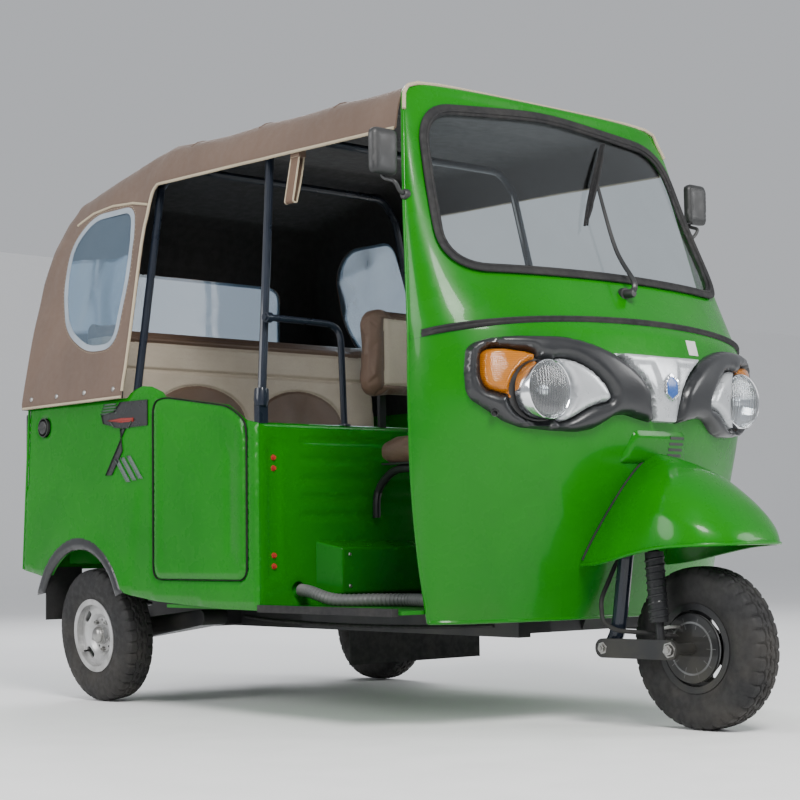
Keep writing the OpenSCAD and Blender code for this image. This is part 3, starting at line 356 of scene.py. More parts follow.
def sweep(path, radius, sides=10, closed=False, flat=1.0, normal=None, caps=True, radii=None):
    """Tube along a path; flat squeezes it along its own side direction."""
    p = [Vector(q) for q in path]
    n = len(p)
    tangents = []
    for i in range(n):
        a = p[(i - 1) % n] if closed or i else p[0]
        b = p[(i + 1) % n] if closed or i + 1 < n else p[-1]
        t = b - a
        tangents.append(t.normalized() if t.length > 1e-9 else Vector((0, 0, 1)))
    side = Vector(normal) if normal else tangents[0].orthogonal()
    verts, faces = [], []
    for i in range(n):
        t = tangents[i]
        side = (side - t * side.dot(t))
        side = side.normalized() if side.length > 1e-6 else t.orthogonal().normalized()
        other = t.cross(side)
        r = radii[i] if radii else radius
        for k in range(sides):
            a = 2 * math.pi * k / sides
            verts.append(p[i] + side * (r * flat * math.cos(a)) + other * (r * math.sin(a)))
    for i in range(n if closed else n - 1):
        for k in range(sides):
            a, b = i * sides + k, i * sides + (k + 1) % sides
            c, d = ((i + 1) % n) * sides + (k + 1) % sides, ((i + 1) % n) * sides + k
            faces.append((a, b, c, d))
    if caps and not closed:
        faces.append(tuple(range(sides))[::-1])
        faces.append(tuple((n - 1) * sides + k for k in range(sides)))
    return verts, faces


def lathe(profile, origin, axis, count=48, start=None):
    """Revolve (radius, along) points about an axis."""
    axis = Vector(axis).normalized()
    u = Vector(start) if start else axis.orthogonal().normalized()
    v = axis.cross(u)
    o = Vector(origin)
    verts, faces = [], []
    for k in range(count):
        a = 2 * math.pi * k / count
        d = u * math.cos(a) + v * math.sin(a)
        for r, h in profile:
            verts.append(o + axis * h + d * r)
    m = len(profile)
    for k in range(count):
        for i in range(m - 1):
            a, b = k * m + i, k * m + i + 1
            c, d = ((k + 1) % count) * m + i + 1, ((k + 1) % count) * m + i
            faces.append((a, b, c, d))
    return verts, faces


def block(lo, hi, inset=0.0):
    """Box with small chamfers on every edge."""
    bm = bmesh.new()
    bmesh.ops.create_cube(bm, size=1)
    for v in bm.verts:
        v.co = Vector(((lo[k] + hi[k]) / 2 + v.co[k] * (hi[k] - lo[k]) for k in range(3)))
    if inset:
        bmesh.ops.bevel(bm, geom=list(bm.edges), offset=inset, segments=2, profile=0.5, affect="EDGES")
    bm.verts.index_update()
    out = [tuple(v.co) for v in bm.verts], [tuple(v.index for v in f.verts) for f in bm.faces]
    bm.free()
    return out


def round_poly(p, r, steps=5):
    out = []
    n = len(p)
    for i in range(n):
        a, b, c = (Vector((*p[(i + k) % n], 0)) for k in (-1, 0, 1))
        s = b + (a - b).normalized() * min(r, (a - b).length / 2.01)
        e = b + (c - b).normalized() * min(r, (c - b).length / 2.01)
        for k in range(steps + 1):
            u = k / steps
            q = (1 - u) ** 2 * s + 2 * u * (1 - u) * b + u * u * e
            out.append((q.x, q.y))
    return out


def evenly(poly, step, closed=True):
    """The polygon's line cut into short equal lengths."""
    p = [Vector((*q, 0)) for q in poly] + ([Vector((*poly[0], 0))] if closed else [])
    out = []
    for a, b in zip(p[:-1], p[1:]):
        n = max(1, math.ceil((b - a).length / step))
        out += [tuple((a + (b - a) * k / n).xy) for k in range(n)]
    return out if closed else out + [tuple(p[-1].xy)]


def inside(points, poly):
    x, y = points[:, 0], points[:, 1]
    hit = np.zeros(len(points), bool)
    p = np.array(poly)
    for (x0, y0), (x1, y1) in zip(p, np.roll(p, -1, 0)):
        if y0 == y1:
            continue
        hit ^= ((y0 > y) != (y1 > y)) & (x < (x1 - x0) * (y - y0) / (y1 - y0) + x0)
    return hit


def edge_distance(points, polys):
    best = np.full(len(points), 1e9)
    for poly in polys:
        p = np.array(poly, float)
        for a, b in zip(p, np.roll(p, -1, 0)):
            d = b - a
            t = np.clip(((points - a) @ d) / max(d @ d, 1e-18), 0, 1)
            best = np.minimum(best, np.linalg.norm(points - (a + t[:, None] * d), axis=1))
    return best


def patch(outline, holes, step, place, lift, extra=()):
    """Triangulated sheet bounded exactly by the outline. place(x, y, height) gives the 3-D point, lift(d, x, y) its
    height at distance d from the nearest edge."""
    loops = [evenly(outline, step)] + [evenly(h, step) for h in holes]
    pts, edges = [], []
    for loop in loops:
        n = len(pts)
        pts += [Vector(q) for q in loop]
        edges += [(n + i, n + (i + 1) % len(loop)) for i in range(len(loop))]
    for line in extra:
        n = len(pts)
        line = evenly(line, step, False)
        pts += [Vector(q) for q in line]
        edges += [(n + i, n + i + 1) for i in range(len(line) - 1)]
    a = np.array(outline)
    xs = np.arange(a[:, 0].min(), a[:, 0].max(), step)
    ys = np.arange(a[:, 1].min(), a[:, 1].max(), step * 0.87)
    g = np.array([(x + (j % 2) * step / 2, y) for j, y in enumerate(ys) for x in xs])
    rings = [outline] + list(holes)
    keep = inside(g, outline) & (edge_distance(g, rings) > step * 0.45)
    for h in holes:
        keep &= ~inside(g, h)
    pts += [Vector(q) for q in g[keep]]
    v, _, f = delaunay_2d_cdt(pts, edges, [], 0, 1e-7)[:3]
    flat = np.array([tuple(q) for q in v])
    tri = np.array([tuple(t) for t in f])
    mid = flat[tri].mean(1)
    ok = inside(mid, outline)
    for h in holes:
        ok &= ~inside(mid, h)
    tri = tri[ok]
    d = edge_distance(flat, rings)
    d[d < step * 0.02] = 0.0
    return [place(x, y, lift(k, x, y)) for (x, y), k in zip(flat, d)], [tuple(t) for t in tri]


def rise(d, width):
    """Share of the full height at distance d from an edge: steep at first, level from width on."""
    return math.sqrt(max(0.0, 1 - (1 - min(1, d / width)) ** 2))


def rounded(height, width):
    return lambda d, x, y: height * rise(d, width)


def level(d, x, y):
    return 0


def skirt(verts, faces, sink):
    """Close a sheet's open edges by a wall that goes down to sink(point)."""
    count = {}
    for f in faces:
        for a, b in zip(f, f[1:] + f[:1]):
            count[(a, b)] = count.get((a, b), 0) + 1
    rim = [(a, b) for a, b in count if (b, a) not in count]
    verts, faces = list(verts), list(faces)
    low = {}
    for a, b in rim:
        for k in (a, b):
            if k not in low:
                low[k] = len(verts)
                verts.append(sink(verts[k]))
        faces.append((b, a, low[a], low[b]))
    return verts, faces


def surface(verts, faces):
    return BVHTree.FromPolygons([Vector(v) for v in verts], faces)


# ---------------------------------------------------------------- cowl surface

# metres
FRONT_AXLE, REAR_AXLE, AXLE_Z = -1.089, 0.861, 0.2085
TUB_FRONT, HALF_W = -0.038, 0.650
# millimetres: rear edge of the cowl at its foot and at the roof, top of the windscreen, top of the cap
COWL_FOOT, ROOF_FRONT, SCREEN_TOP, CAP_TOP = -634, -516, 1690, 1790

# height, half width, rear edge offset, depth, plan exponent (mm)
COWL = [
    (280, 550, 0, 135, 1.8), (450, 576, 4, 209, 1.85), (650, 601, -1, 285, 1.9), (880, 618, -14, 323, 1.95),
    (1030, 622, -20, 275, 2.0), (1060, 621, -18, 251, 2.0), (1205, 602, 8, 171, 2.15), (1420, 568, 53, 89, 2.25),
    (1620, 531, 96, 45, 2.35), (1690, 510, 118, 33, 2.4),
]
CAP = [(0.0, 1.0), (0.55, 0.975), (0.85, 0.9), (1.0, 0.72), (1.03, 0.36), (1.04, 0.0)]


def along(rows, z):
    i = 0
    while i < len(rows) - 2 and z >= rows[i + 1][0]:
        i += 1
    h = rows[i + 1][0] - rows[i][0]
    u = (z - rows[i][0]) / h
    out = []
    for k in range(1, len(rows[0])):
        slopes = []
        for j in (i, i + 1):
            a, b = max(j - 1, 0), min(j + 1, len(rows) - 1)
            slopes.append((rows[b][k] - rows[a][k]) / (rows[b][0] - rows[a][0]))
        out.append((2 * u ** 3 - 3 * u * u + 1) * rows[i][k] + (u ** 3 - 2 * u * u + u) * h * slopes[0]
                   + (3 * u * u - 2 * u ** 3) * rows[i + 1][k] + (u ** 3 - u * u) * h * slopes[1])
    return out


def power(c, e):
    return math.copysign(abs(c) ** e, c)


def cowl_point(t, v, w=0.0):
    """Point of the cowl: t runs -1..1 across the front, v is the height in mm and, from SCREEN_TOP to CAP_TOP, the way
    over the cap; w goes inwards."""
    z = min(v, SCREEN_TOP)
    hw, off, d, n = along(COWL, z)
    a = math.radians(270 + 90 * t)
    x = (hw - w) * power(math.cos(a), 2 / n)
    y = COWL_FOOT + off + (d - w) * power(math.sin(a), 2 / n)
    if v > SCREEN_TOP:
        k = (v - SCREEN_TOP) / 100 * (len(CAP) - 1)
        i = min(int(k), len(CAP) - 2)
        f = k - i
        up_share = CAP[i][0] + (CAP[i + 1][0] - CAP[i][0]) * f
        scale = CAP[i][1] + (CAP[i + 1][1] - CAP[i][1]) * f
        x, y, z = x * scale, ROOF_FRONT + (y - ROOF_FRONT) * scale, SCREEN_TOP + (38 - w) * up_share
    return Vector((x, y, z)) * MM


def cowl_y(x, z, w=0.0):
    """Front face of the cowl at x, z (metres in, metres out); w inwards."""
    hw, off, d, n = along(COWL, z * 1000)
    hw, d = hw - w * 1000, d - w * 1000
    return (COWL_FOOT + off - d * max(0.0, 1 - min(1.0, abs(x) * 1000 / hw) ** n) ** (1 / n)) * MM


def on_cowl(x, z, h=0.0):
    """Point on the cowl at x, z (metres), pushed out along the surface normal by h."""
    e = 0.012
    y = cowl_y(x, z)
    gx = (cowl_y(min(0.6, x + e), z) - cowl_y(max(-0.6, x - e), z)) / (2 * e)
    gz = (cowl_y(x, z + e) - cowl_y(x, z - e)) / (2 * e)
    n = Vector((max(-1.6, min(1.6, gx)), -1, max(-1, min(1, gz)))).normalized()
    return Vector((x, y, z)) + n * h


def t_of(x, z):
    """Across-the-front share of a point at x, z in mm."""
    hw, _, _, n = along(COWL, min(z, SCREEN_TOP))
    return math.degrees(math.asin(max(-1, min(1, power(x / hw, n / 2))))) / 90


def glass_outline(g):
    return round_poly([(-540 - g, 1195 - g), (0, 1201 - g), (540 + g, 1195 - g), (478 + g, 1642 + g), (0, 1686 + g),
                       (-478 - g, 1642 + g)], 110, 10)


ACROSS = 800


def wrap(outline, step=20):
    """Front-view outline (mm) as points of the cowl's own sheet, heights scaled so that both directions are alike."""
    return [(t_of(x, z) * ACROSS, z) for x, z in evenly(outline, step)]


def cowl_skin():
    border = [(-ACROSS, 280), (ACROSS, 280), (ACROSS, CAP_TOP), (-ACROSS, CAP_TOP)]
    verts, faces = patch(border, [wrap(glass_outline(0))], 17, lambda t, v, h: cowl_point(t / ACROSS, v), level)
    o = piece("cowl_skin", verts, faces, "green", slot="green_paint", replaces=("cowl",))
    if sum(p.normal.y * p.area for p in o.data.polygons) > 0:
        o.data.flip_normals()
    modify(o, "SOLIDIFY", thickness=0.012, offset=-1, use_even_offset=False)
    apply(o)
    o.data.set_sharp_from_angle(angle=math.radians(50))
    # rolled rear edges and foot lip
    for s, word in ((-1, "right"), (1, "left")):
        edge = [cowl_point(s, v, 5) for v in (*range(282, SCREEN_TOP, 16), *range(SCREEN_TOP, CAP_TOP, 6))]
        parts = [sweep([p + Vector((0, -0.001, 0)) for p in edge], 0.0075, 10)]
        lip = [cowl_point(s, v, 22) + Vector((0, -0.004, 0)) for v in range(300, 1680, 20)]
        parts.append(sweep(lip, 0.011, 8, flat=0.45, normal=(0, 1, 0)))
        piece("cowl_edge_" + word, *join(parts), "green", slot="green_paint")
    foot = [cowl_point(t / 40, 282, 4) for t in range(-40, 41)]
    piece("cowl_foot_lip", *sweep(foot, 0.006, 8), "green", slot="green_paint")
    # cream edging where canopy meets the cowl's roof
    roof = [cowl_point(-1, v, -1) for v in range(1640, 1790, 6)]
    roof += [cowl_point(1, v, -1) for v in range(1784, 1634, -6)]
    piece("roof_joint_strip", *sweep([p + Vector((0, -0.010, 0)) for p in roof], 0.0055, 8), "piping",
          slot="cream_vinyl")


def front_sheet(name, outline, step, lift, mat, sink=0.004, holes=(), slot=None, replaces=(), sharp=38, extra=()):
    """Moulded part that follows the cowl: outline in mm in front view, lift(d, x, z) in metres."""
    verts, faces = patch(outline, holes, step, lambda x, z, h: on_cowl(x * MM, z * MM, h), lift, extra)
    verts, faces = skirt(verts, faces, lambda p: Vector((p[0], cowl_y(p[0], p[2]) + sink, p[2])))
    return piece(name, verts, faces, mat, slot=slot, replaces=replaces, sharp=sharp)


def windscreen():
    outline = wrap(glass_outline(8))
    verts, faces = patch(outline, [], 24, lambda t, v, h: cowl_point(t / ACROSS, v, 4), level)
    o = piece("windscreen_glass", verts, faces, "glass", slot="glass", replaces=("windscreen",))
    modify(o, "SOLIDIFY", thickness=0.005, offset=-1, use_even_offset=False)
    apply(o)
    o.data.set_sharp_from_angle(angle=math.radians(50))
    path = [on_cowl(x * MM, z * MM, 0.003) for x, z in evenly(glass_outline(3), 14)]
    v1, f1 = sweep(path, 0.0165, 14, True, 0.42, (0, 1, 0))
    inner = [on_cowl(x * MM, z * MM, 0.007) for x, z in evenly(glass_outline(-2), 14)]
    v2, f2 = sweep(inner, 0.0045, 8, True)
    piece("windscreen_rubber", *join([(v1, f1), (v2, f2)]), "rubber", slot="black_rubber",
          replaces=("windscreen_seal",), sharp=50)


def waist():
    def at(x):
        return 1012 + 50 * max(0.0, 1 - (x / 622) ** 2) ** 0.6
    xs = [621.5 * math.sin(math.radians(a)) for a in range(-90, 91, 2)]
    path = [Vector((x * MM, cowl_y(x * MM, at(x) * MM), at(x) * MM)) for x in xs]
    normals = [on_cowl(p.x, p.z, 1) - on_cowl(p.x, p.z, 0) for p in path]
    profile = [(-10, -1), (-10, 3), (-7.5, 7), (-4.5, 8), (-2.5, 5.5), (0, 5), (2.5, 5.5), (4.5, 8), (7.5, 7),
               (10, 3), (10, -1)]
    verts, faces = [], []
    for p, n in zip(path, normals):
        for a, h in profile:
            verts.append(p + Vector((0, 0, a * MM)) + n * (h * MM))
    m = len(profile)
    for i in range(len(path) - 1):
        for k in range(m - 1):
            faces.append((i * m + k, i * m + k + 1, (i + 1) * m + k + 1, (i + 1) * m + k))
    faces += [tuple(range(m)), tuple((len(path) - 1) * m + k for k in range(m))]
    piece("waist_strip", verts, faces, "rubber", slot="black_rubber", replaces=("waist_moulding",), sharp=60)


MASK = [(46, 792), (54, 836), (66, 879), (94, 911), (136, 942), (176, 966), (225, 986), (285, 1002), (340, 1008),
        (430, 1008), (494, 1002), (532, 990), (549, 972), (554, 917), (550, 868), (540, 845), (512, 822), (470, 790),
        (430, 774), (347, 766), (280, 764), (238, 772), (209, 787), (175, 808), (141, 811), (105, 803)]
LAMP = (386, 869, 76)
AMBER = [(396, 962), (470, 974), (508, 973), (522, 960), (524, 905), (514, 872), (466, 856), (440, 850)]
INSERT = [(352, 948), (318, 948), (288, 940), (246, 916), (212, 884), (196, 862), (200, 844), (238, 836), (270, 822),
          (298, 804), (322, 792), (344, 790)]


def circle(x, z, r, n=48):
    return [(x + r * math.cos(2 * math.pi * k / n), z + r * math.sin(2 * math.pi * k / n)) for k in range(n)]


def outside_lamp(poly, r):
    """Push the points of an outline that fall in the lamp's circle out to radius r."""
    out = []
    for x, z in evenly(poly, 6):
        d = Vector((x - LAMP[0], z - LAMP[1]))
        if d.length < r:
            d = d.normalized() * r
            x, z = LAMP[0] + d.x, LAMP[1] + d.y
        out.append((x, z))
    return out


def flip(poly, s):
    return [(s * x, z) for x, z in poly]


def lamp_masks():
    for s, word in ((-1, "right"), (1, "left")):
        opening = outside_lamp(round_poly(AMBER, 16, 4), LAMP[2] + 1)
        insert = outside_lamp(round_poly(INSERT, 10, 4), LAMP[2] + 2)
        amber_hole = flip(opening, s)
        insert_hole = flip(insert, s)

        def lift(d, x, z):
            full = 0.024 + 0.008 * min(1, max(0, (z - 800) / 180))
            return full * rise(d, 26) + 0.001
        # one hole round lamp, amber lens and silver insert together
        merged = union_outline([flip(circle(*LAMP[:2], LAMP[2] + 3, 72), s), amber_hole, insert_hole])
        front_sheet("lamp_mask_" + word, flip(round_poly(MASK, 10, 3), s), 9, lift, "gloss_black", 0.003, [merged],
                    "black_plastic", ("lamp_fascia",), sharp=60)
        # recessed floor behind the lamp and lens
        front_sheet("lamp_well_" + word, merged, 14, lambda d, x, z: 0.002, "black_plastic", 0.001, (),
                    "black_plastic")
        # silver insert with a raised rib
        front_sheet("lamp_insert_" + word, flip(insert, s), 8,
                    lambda d, x, z: 0.006 + 0.020 * rise(d, 22), "silver", 0.002, (), "silver_plastic")
        # amber lens
        front_sheet("indicator_lens_" + word, flip(shrink(opening, 1.5), s), 8,
                    lambda d, x, z: 0.006 + 0.018 * rise(d, 16)
                    + (0.0012 * abs(math.sin(z * 0.42)) if d > 9 else 0), "amber", 0.001, (), "amber_lens",
                    ("indicators",), 45)
        # headlamp: bezel, bowl with facets, bulb, glass
        cx, cz = s * LAMP[0] * MM, LAMP[1] * MM
        y = cowl_y(cx, cz)
        at = (cx, y, cz)
        v, f = lathe([(0.0765, 0.018), (0.0765, -0.028), (0.0760, -0.0305), (0.0745, -0.0315), (0.0728, -0.030),
                      (0.0725, -0.014)],
                     at, (0, 1, 0), 72)
        piece("headlamp_bezel_" + word, v, f, "chrome", slot="silver_plastic", replaces=("headlamps",))
        bowl = []
        for k in range(15):
            r = 0.0725 * (1 - k / 14) + 0.011 * (k / 14)
            bowl.append((r, -0.015 + 0.045 * (1 - (r / 0.0725) ** 2)))
        v, f = lathe(bowl, at, (0, 1, 0), 96)
        o = piece("headlamp_bowl_" + word, v, f, "chrome", slot="silver_plastic", sharp=8)
        for vert in o.data.vertices:
            q = vert.co - Vector(at)
            a = math.atan2(q.z, q.x)
            r = math.hypot(q.x, q.z)
            if 0.02 < r < 0.071:
                vert.co.y += 0.0016 * abs(math.sin(a * 8)) + 0.001 * abs(math.sin(r * 260))
        bulb = [(0.0, -0.010), (0.004, -0.0095), (0.0075, -0.005), (0.0085, 0.002), (0.0085, 0.014), (0.0125, 0.016),
                (0.0125, 0.026)]
        v1, f1 = lathe(bulb, at, (0, 1, 0), 20)
        shield = [(0.0, -0.017), (0.010, -0.016), (0.0145, -0.012), (0.0145, -0.006), (0.012, -0.005)]
        v2, f2 = lathe(shield, at, (0, 1, 0), 28)
        piece("headlamp_bulb_" + word, *join([(v1, f1), (v2, f2)]), "chrome", slot="silver_plastic")
        dome = [(0.0, -0.0425)] + [(0.0725 * math.sin(math.radians(a)), -0.0295 - 0.013 * math.cos(math.radians(a)))
                                   for a in range(6, 91, 6)]
        dome += [(0.0725, -0.0265)] + [(0.069 * math.sin(math.radians(a)),
                                        -0.0275 - 0.0115 * math.cos(math.radians(a)))
                                        for a in range(90, 5, -12)] + [(0.0, -0.039)]
        piece("headlamp_glass_" + word, *lathe(dome, at, (0, 1, 0), 72), "lamp", slot="lamp_lens")
        # screw recesses of the mask
        parts = []
        for x, z in ((538, 925), (492, 812), (118, 830)):
            p = on_cowl(s * x * MM, z * MM, 0.0)
            n = (on_cowl(s * x * MM, z * MM, 1) - p).normalized()
            parts.append(lathe([(0.0, 0.0155), (0.0055, 0.0155), (0.0075, 0.0235), (0.009, 0.024), (0.0095, 0.014)],
                               p, n, 16))
        piece("mask_screws_" + word, *join(parts), "black_plastic", slot="black_plastic")


def shrink(poly, g):
    """Polygon moved inwards by g along its own normals."""
    p = [Vector(q) for q in poly]
    n = len(p)
    area = sum(p[i].x * p[(i + 1) % n].y - p[(i + 1) % n].x * p[i].y for i in range(n))
    out = []
    for i in range(n):
        t = p[(i + 1) % n] - p[i - 1]
        t = t.normalized() if t.length > 1e-9 else Vector((1, 0))
        inward = Vector((-t.y, t.x)) if area > 0 else Vector((t.y, -t.x))
        out.append(tuple(p[i] + inward * g))
    return out


def union_outline(polys):
    """Outer line of overlapping outlines, by triangulating them together."""
    pts, edges = [], []
    for poly in polys:
        line = evenly(poly, 5)
        n = len(pts)
        pts += [Vector(q) for q in line]
        edges += [(n + i, n + (i + 1) % len(line)) for i in range(len(line))]
    v, _, f = delaunay_2d_cdt(pts, edges, [], 0, 1e-6)[:3]
    flat = np.array([tuple(q) for q in v])
    tri = [tuple(t) for t in f]
    mid = flat[np.array(tri)].mean(1)
    ok = np.zeros(len(mid), bool)
    for poly in polys:
        ok |= inside(mid, poly)
    used = set()
    for t, good in zip(tri, ok):
        if good:
            for a, b in zip(t, t[1:] + t[:1]):
                used.add((a, b))
    rim = {a: b for a, b in used if (b, a) not in used}
    best = []
    while rim:
        start, nxt = next(iter(rim.items()))
        loop = [start]
        del rim[start]
        while nxt in rim:
            loop.append(nxt)
            nxt = rim.pop(nxt)
        if len(loop) > len(best):
            best = loop
    return [tuple(flat[k]) for k in best]


def garnish():
    outline = [(-168, 969), (-90, 967), (0, 965), (90, 967), (168, 969), (131, 944), (90, 914), (61, 881), (49, 838),
               (41, 795), (-41, 795), (-49, 838), (-61, 881), (-90, 914), (-131, 944)]

    def lift(d, x, z):
        edge = rise(d, 9)
        middle = 1 / (1 + math.exp((abs(x) - (34 + max(0.0, z - 892) * 0.34)) / 2.6))
        brow = 1 / (1 + math.exp(-(z - 944) / 2.6))
        return 0.006 + edge * (0.011 + 0.007 * max(middle, brow))
    front_sheet("nose_trim", round_poly(outline, 7, 3), 6, lift, "silver", 0.003, (), "silver_plastic",
                ("nose_garnish",), 25)

    def hexagon(half_wide, half_high):
        return [(half_wide * math.sin(math.radians(60 * k)), 884 + half_high * math.cos(math.radians(60 * k)))
                for k in range(6)]
    inner = hexagon(24, 27)
    front_sheet("nose_badge_rim", hexagon(30, 33), 4, lambda d, x, z: 0.030 + 0.004 * min(1, d / 3), "chrome", 0.0,
                [inner],
                "silver_plastic")
    front_sheet("nose_badge", inner, 4, lambda d, x, z: 0.030 + 0.001 * min(1, d / 4), "blue", 0.0, (),
                "black_plastic")
    # blank label on the cowl beside the trim, vehicle's left
    label = [(150, 1026), (196, 1026), (190, 984), (146, 984)]
    front_sheet("blank_label", label, 12, lambda d, x, z: 0.0012, "white", 0.0, (), "silver_plastic")
    # pressed nose plate with louvres; under each hood a flat black patch stands for the opening: painted shade
    plate = [(-100, 772), (100, 772), (132, 686), (-132, 686)]
    front_sheet("nose_plate", round_poly(plate, 16, 4), 8, lambda d, x, z: 0.0005 + 0.008 * min(1, d / 14) ** 0.7,
                "green", 0.002, (), "green_paint", (), 60)
    for k in range(4):
        z = 757 - 15 * k
        slot = round_poly([(34, z + 3.6), (92, z + 3.6), (94, z - 3.6), (34, z - 3.6)], 3, 2)
        # black patch in place of the louvre's opening: painted shade
        front_sheet("nose_louvre_%d" % k, slot, 6, lambda d, x, z: 0.0094, "black_plastic", 0.0, (), "black_plastic")
        hood = round_poly([(32, z + 6.5), (95, z + 6.5), (95, z + 3), (32, z + 3)], 1.5, 2)
        front_sheet("nose_louvre_lip_%d" % k, hood, 4, lambda d, x, z: 0.009 + 0.004 * min(1, d / 2), "green", 0.0,
                    (), "green_paint")


GUARD = [(-270, 742, 172, 418, 1.25), (-205, 728, 178, 424, 1.35), (-150, 715, 186, 434, 1.5),
         (-80, 698, 192, 448, 1.8), (0, 664, 195, 462, 2.2), (60, 622, 188, 467, 2.2), (110, 578, 166, 469, 2.2),
         (145, 538, 132, 470, 2.2), (168, 506, 90, 471, 2.2), (178, 486, 46, 472, 2.2)]


def guard_point(s, a, w=0.0):
    crown, hw, hem, n = along(GUARD, s)
    c, q = math.cos(a), math.sin(a)
    # a soft crease along the flank
    x = (hw - w) * power(c, 2 / n)
    z = hem + (crown - w - hem) * power(max(0.0, q), 2 / n)
    crease = 3.5 * math.exp(-((q - 0.42) / 0.10) ** 2) * max(0, 1 - abs(s - 20) / 170)
    return Vector((x + math.copysign(crease, x) if abs(x) > 30 else x, -1089 - s, z)) * MM


def mudguard():
    stations = [-270 + 6 * k for k in range(73)] + [168, 171, 174, 176.5, 178]
    stations = sorted(set(min(178, s) for s in stations))
    count = 60
    rows = [[guard_point(s, math.pi * k / count) for k in range(count + 1)] for s in stations]
    verts = [p for row in rows for p in row]
    faces = []
    m = count + 1
    keep = []
    for p in verts:
        limit = cowl_y(p.x, p.z) + 0.001
        keep.append(p.y <= limit + 0.03)
    line = {}
    for k in range(m):
        prev = None
        for i, s in enumerate(stations):
            p = rows[i][k]
            gap = p.y - cowl_y(p.x, p.z)
            if prev is not None and prev > 0 >= gap:
                q = rows[i - 1][k]
                line[k] = q.lerp(p, prev / (prev - gap))
            prev = gap
    for i in range(len(stations) - 1):
        for k in range(count):
            ids = (i * m + k, i * m + k + 1, (i + 1) * m + k + 1, (i + 1) * m + k)
            if all(keep[j] for j in ids):
                faces.append(ids)
    last = (len(stations) - 1) * m
    faces.append(tuple(last + k for k in range(m)))
    for i, p in enumerate(verts):
        limit = cowl_y(p.x, p.z) + 0.003
        if p.y > limit:
            verts[i] = Vector((p.x, limit, p.z))
    o = piece("front_guard", verts, faces, "green", slot="green_paint", replaces=("front_mudguard",), sharp=40)
    if sum(p.normal.z * p.area for p in o.data.polygons) < 0:
        o.data.flip_normals()
    modify(o, "SOLIDIFY", thickness=0.007, offset=-1)
    apply(o)
    o.data.set_sharp_from_angle(angle=math.radians(45))
    # rolled hem

    def hem(a):
        return [p for p in (guard_point(s, a) for s in stations) if p.y < cowl_y(p.x, p.z)]
    piece("front_guard_hem", *sweep([p + Vector((0, 0, 0.003)) for p in hem(0) + hem(math.pi)[::-1]], 0.0048, 8),
          "green", slot="green_paint")
    seam = [line[k] for k in sorted(line)]
    if len(seam) > 4:
        piece("front_guard_seal", *sweep([p + Vector((0, -0.0015, 0)) for p in seam], 0.0042, 8), "rubber",
              slot="black_rubber")


def wiper():
    pivot = Vector((0, cowl_y(0, 1.150), 1.150))
    parts = [lathe([(0.0, -0.040), (0.010, -0.039), (0.0125, -0.034), (0.0125, -0.010), (0.018, -0.008),
                    (0.018, 0.004)], pivot, (0, 1, 0), 24)]
    knee = Vector((0.036, cowl_y(0.036, 1.29) - 0.034, 1.29))
    tip = Vector((0.095, cowl_y(0.095, 1.495) - 0.026, 1.495))
    arm = smooth_path([pivot + Vector((0, -0.026, 0)), pivot + Vector((0.007, -0.034, 0.03)), knee, tip], 8)
    radii = [0.0095 - 0.005 * i / (len(arm) - 1) for i in range(len(arm))]
    parts.append(sweep(arm, 0.008, 8, flat=0.6, radii=radii))
    piece("wiper_arm", *join(parts), "black_plastic", slot="black_plastic", replaces=("wiper",))
    line = []
    for k in range(25):
        q = k / 24
        x, z = -0.015 + 0.220 * q, 1.355 + 0.280 * q
        line.append(Vector((x, cowl_y(x, z) - 0.0075, z)))
    parts = [sweep(line, 0.0045, 6, flat=0.6)]
    spine = [p + Vector((0, -0.010, 0)) for p in line]
    parts.append(sweep(spine, 0.0032, 6))
    for a, b in ((2, 9), (15, 22)):
        mid = (line[a] + line[b]) / 2 + Vector((0, -0.017, 0))
        parts.append(sweep(smooth_path([spine[a], mid, spine[b]], 6), 0.0038, 6))
    bridge = smooth_path([(line[5] + line[6]) / 2 + Vector((0, -0.015, 0)), tip + Vector((0, -0.002, 0)),
                          (line[18] + line[19]) / 2 + Vector((0, -0.015, 0))], 6)
    parts.append(sweep(bridge, 0.0045, 6))
    piece("wiper_blade", *join(parts), "rubber", slot="black_rubber")


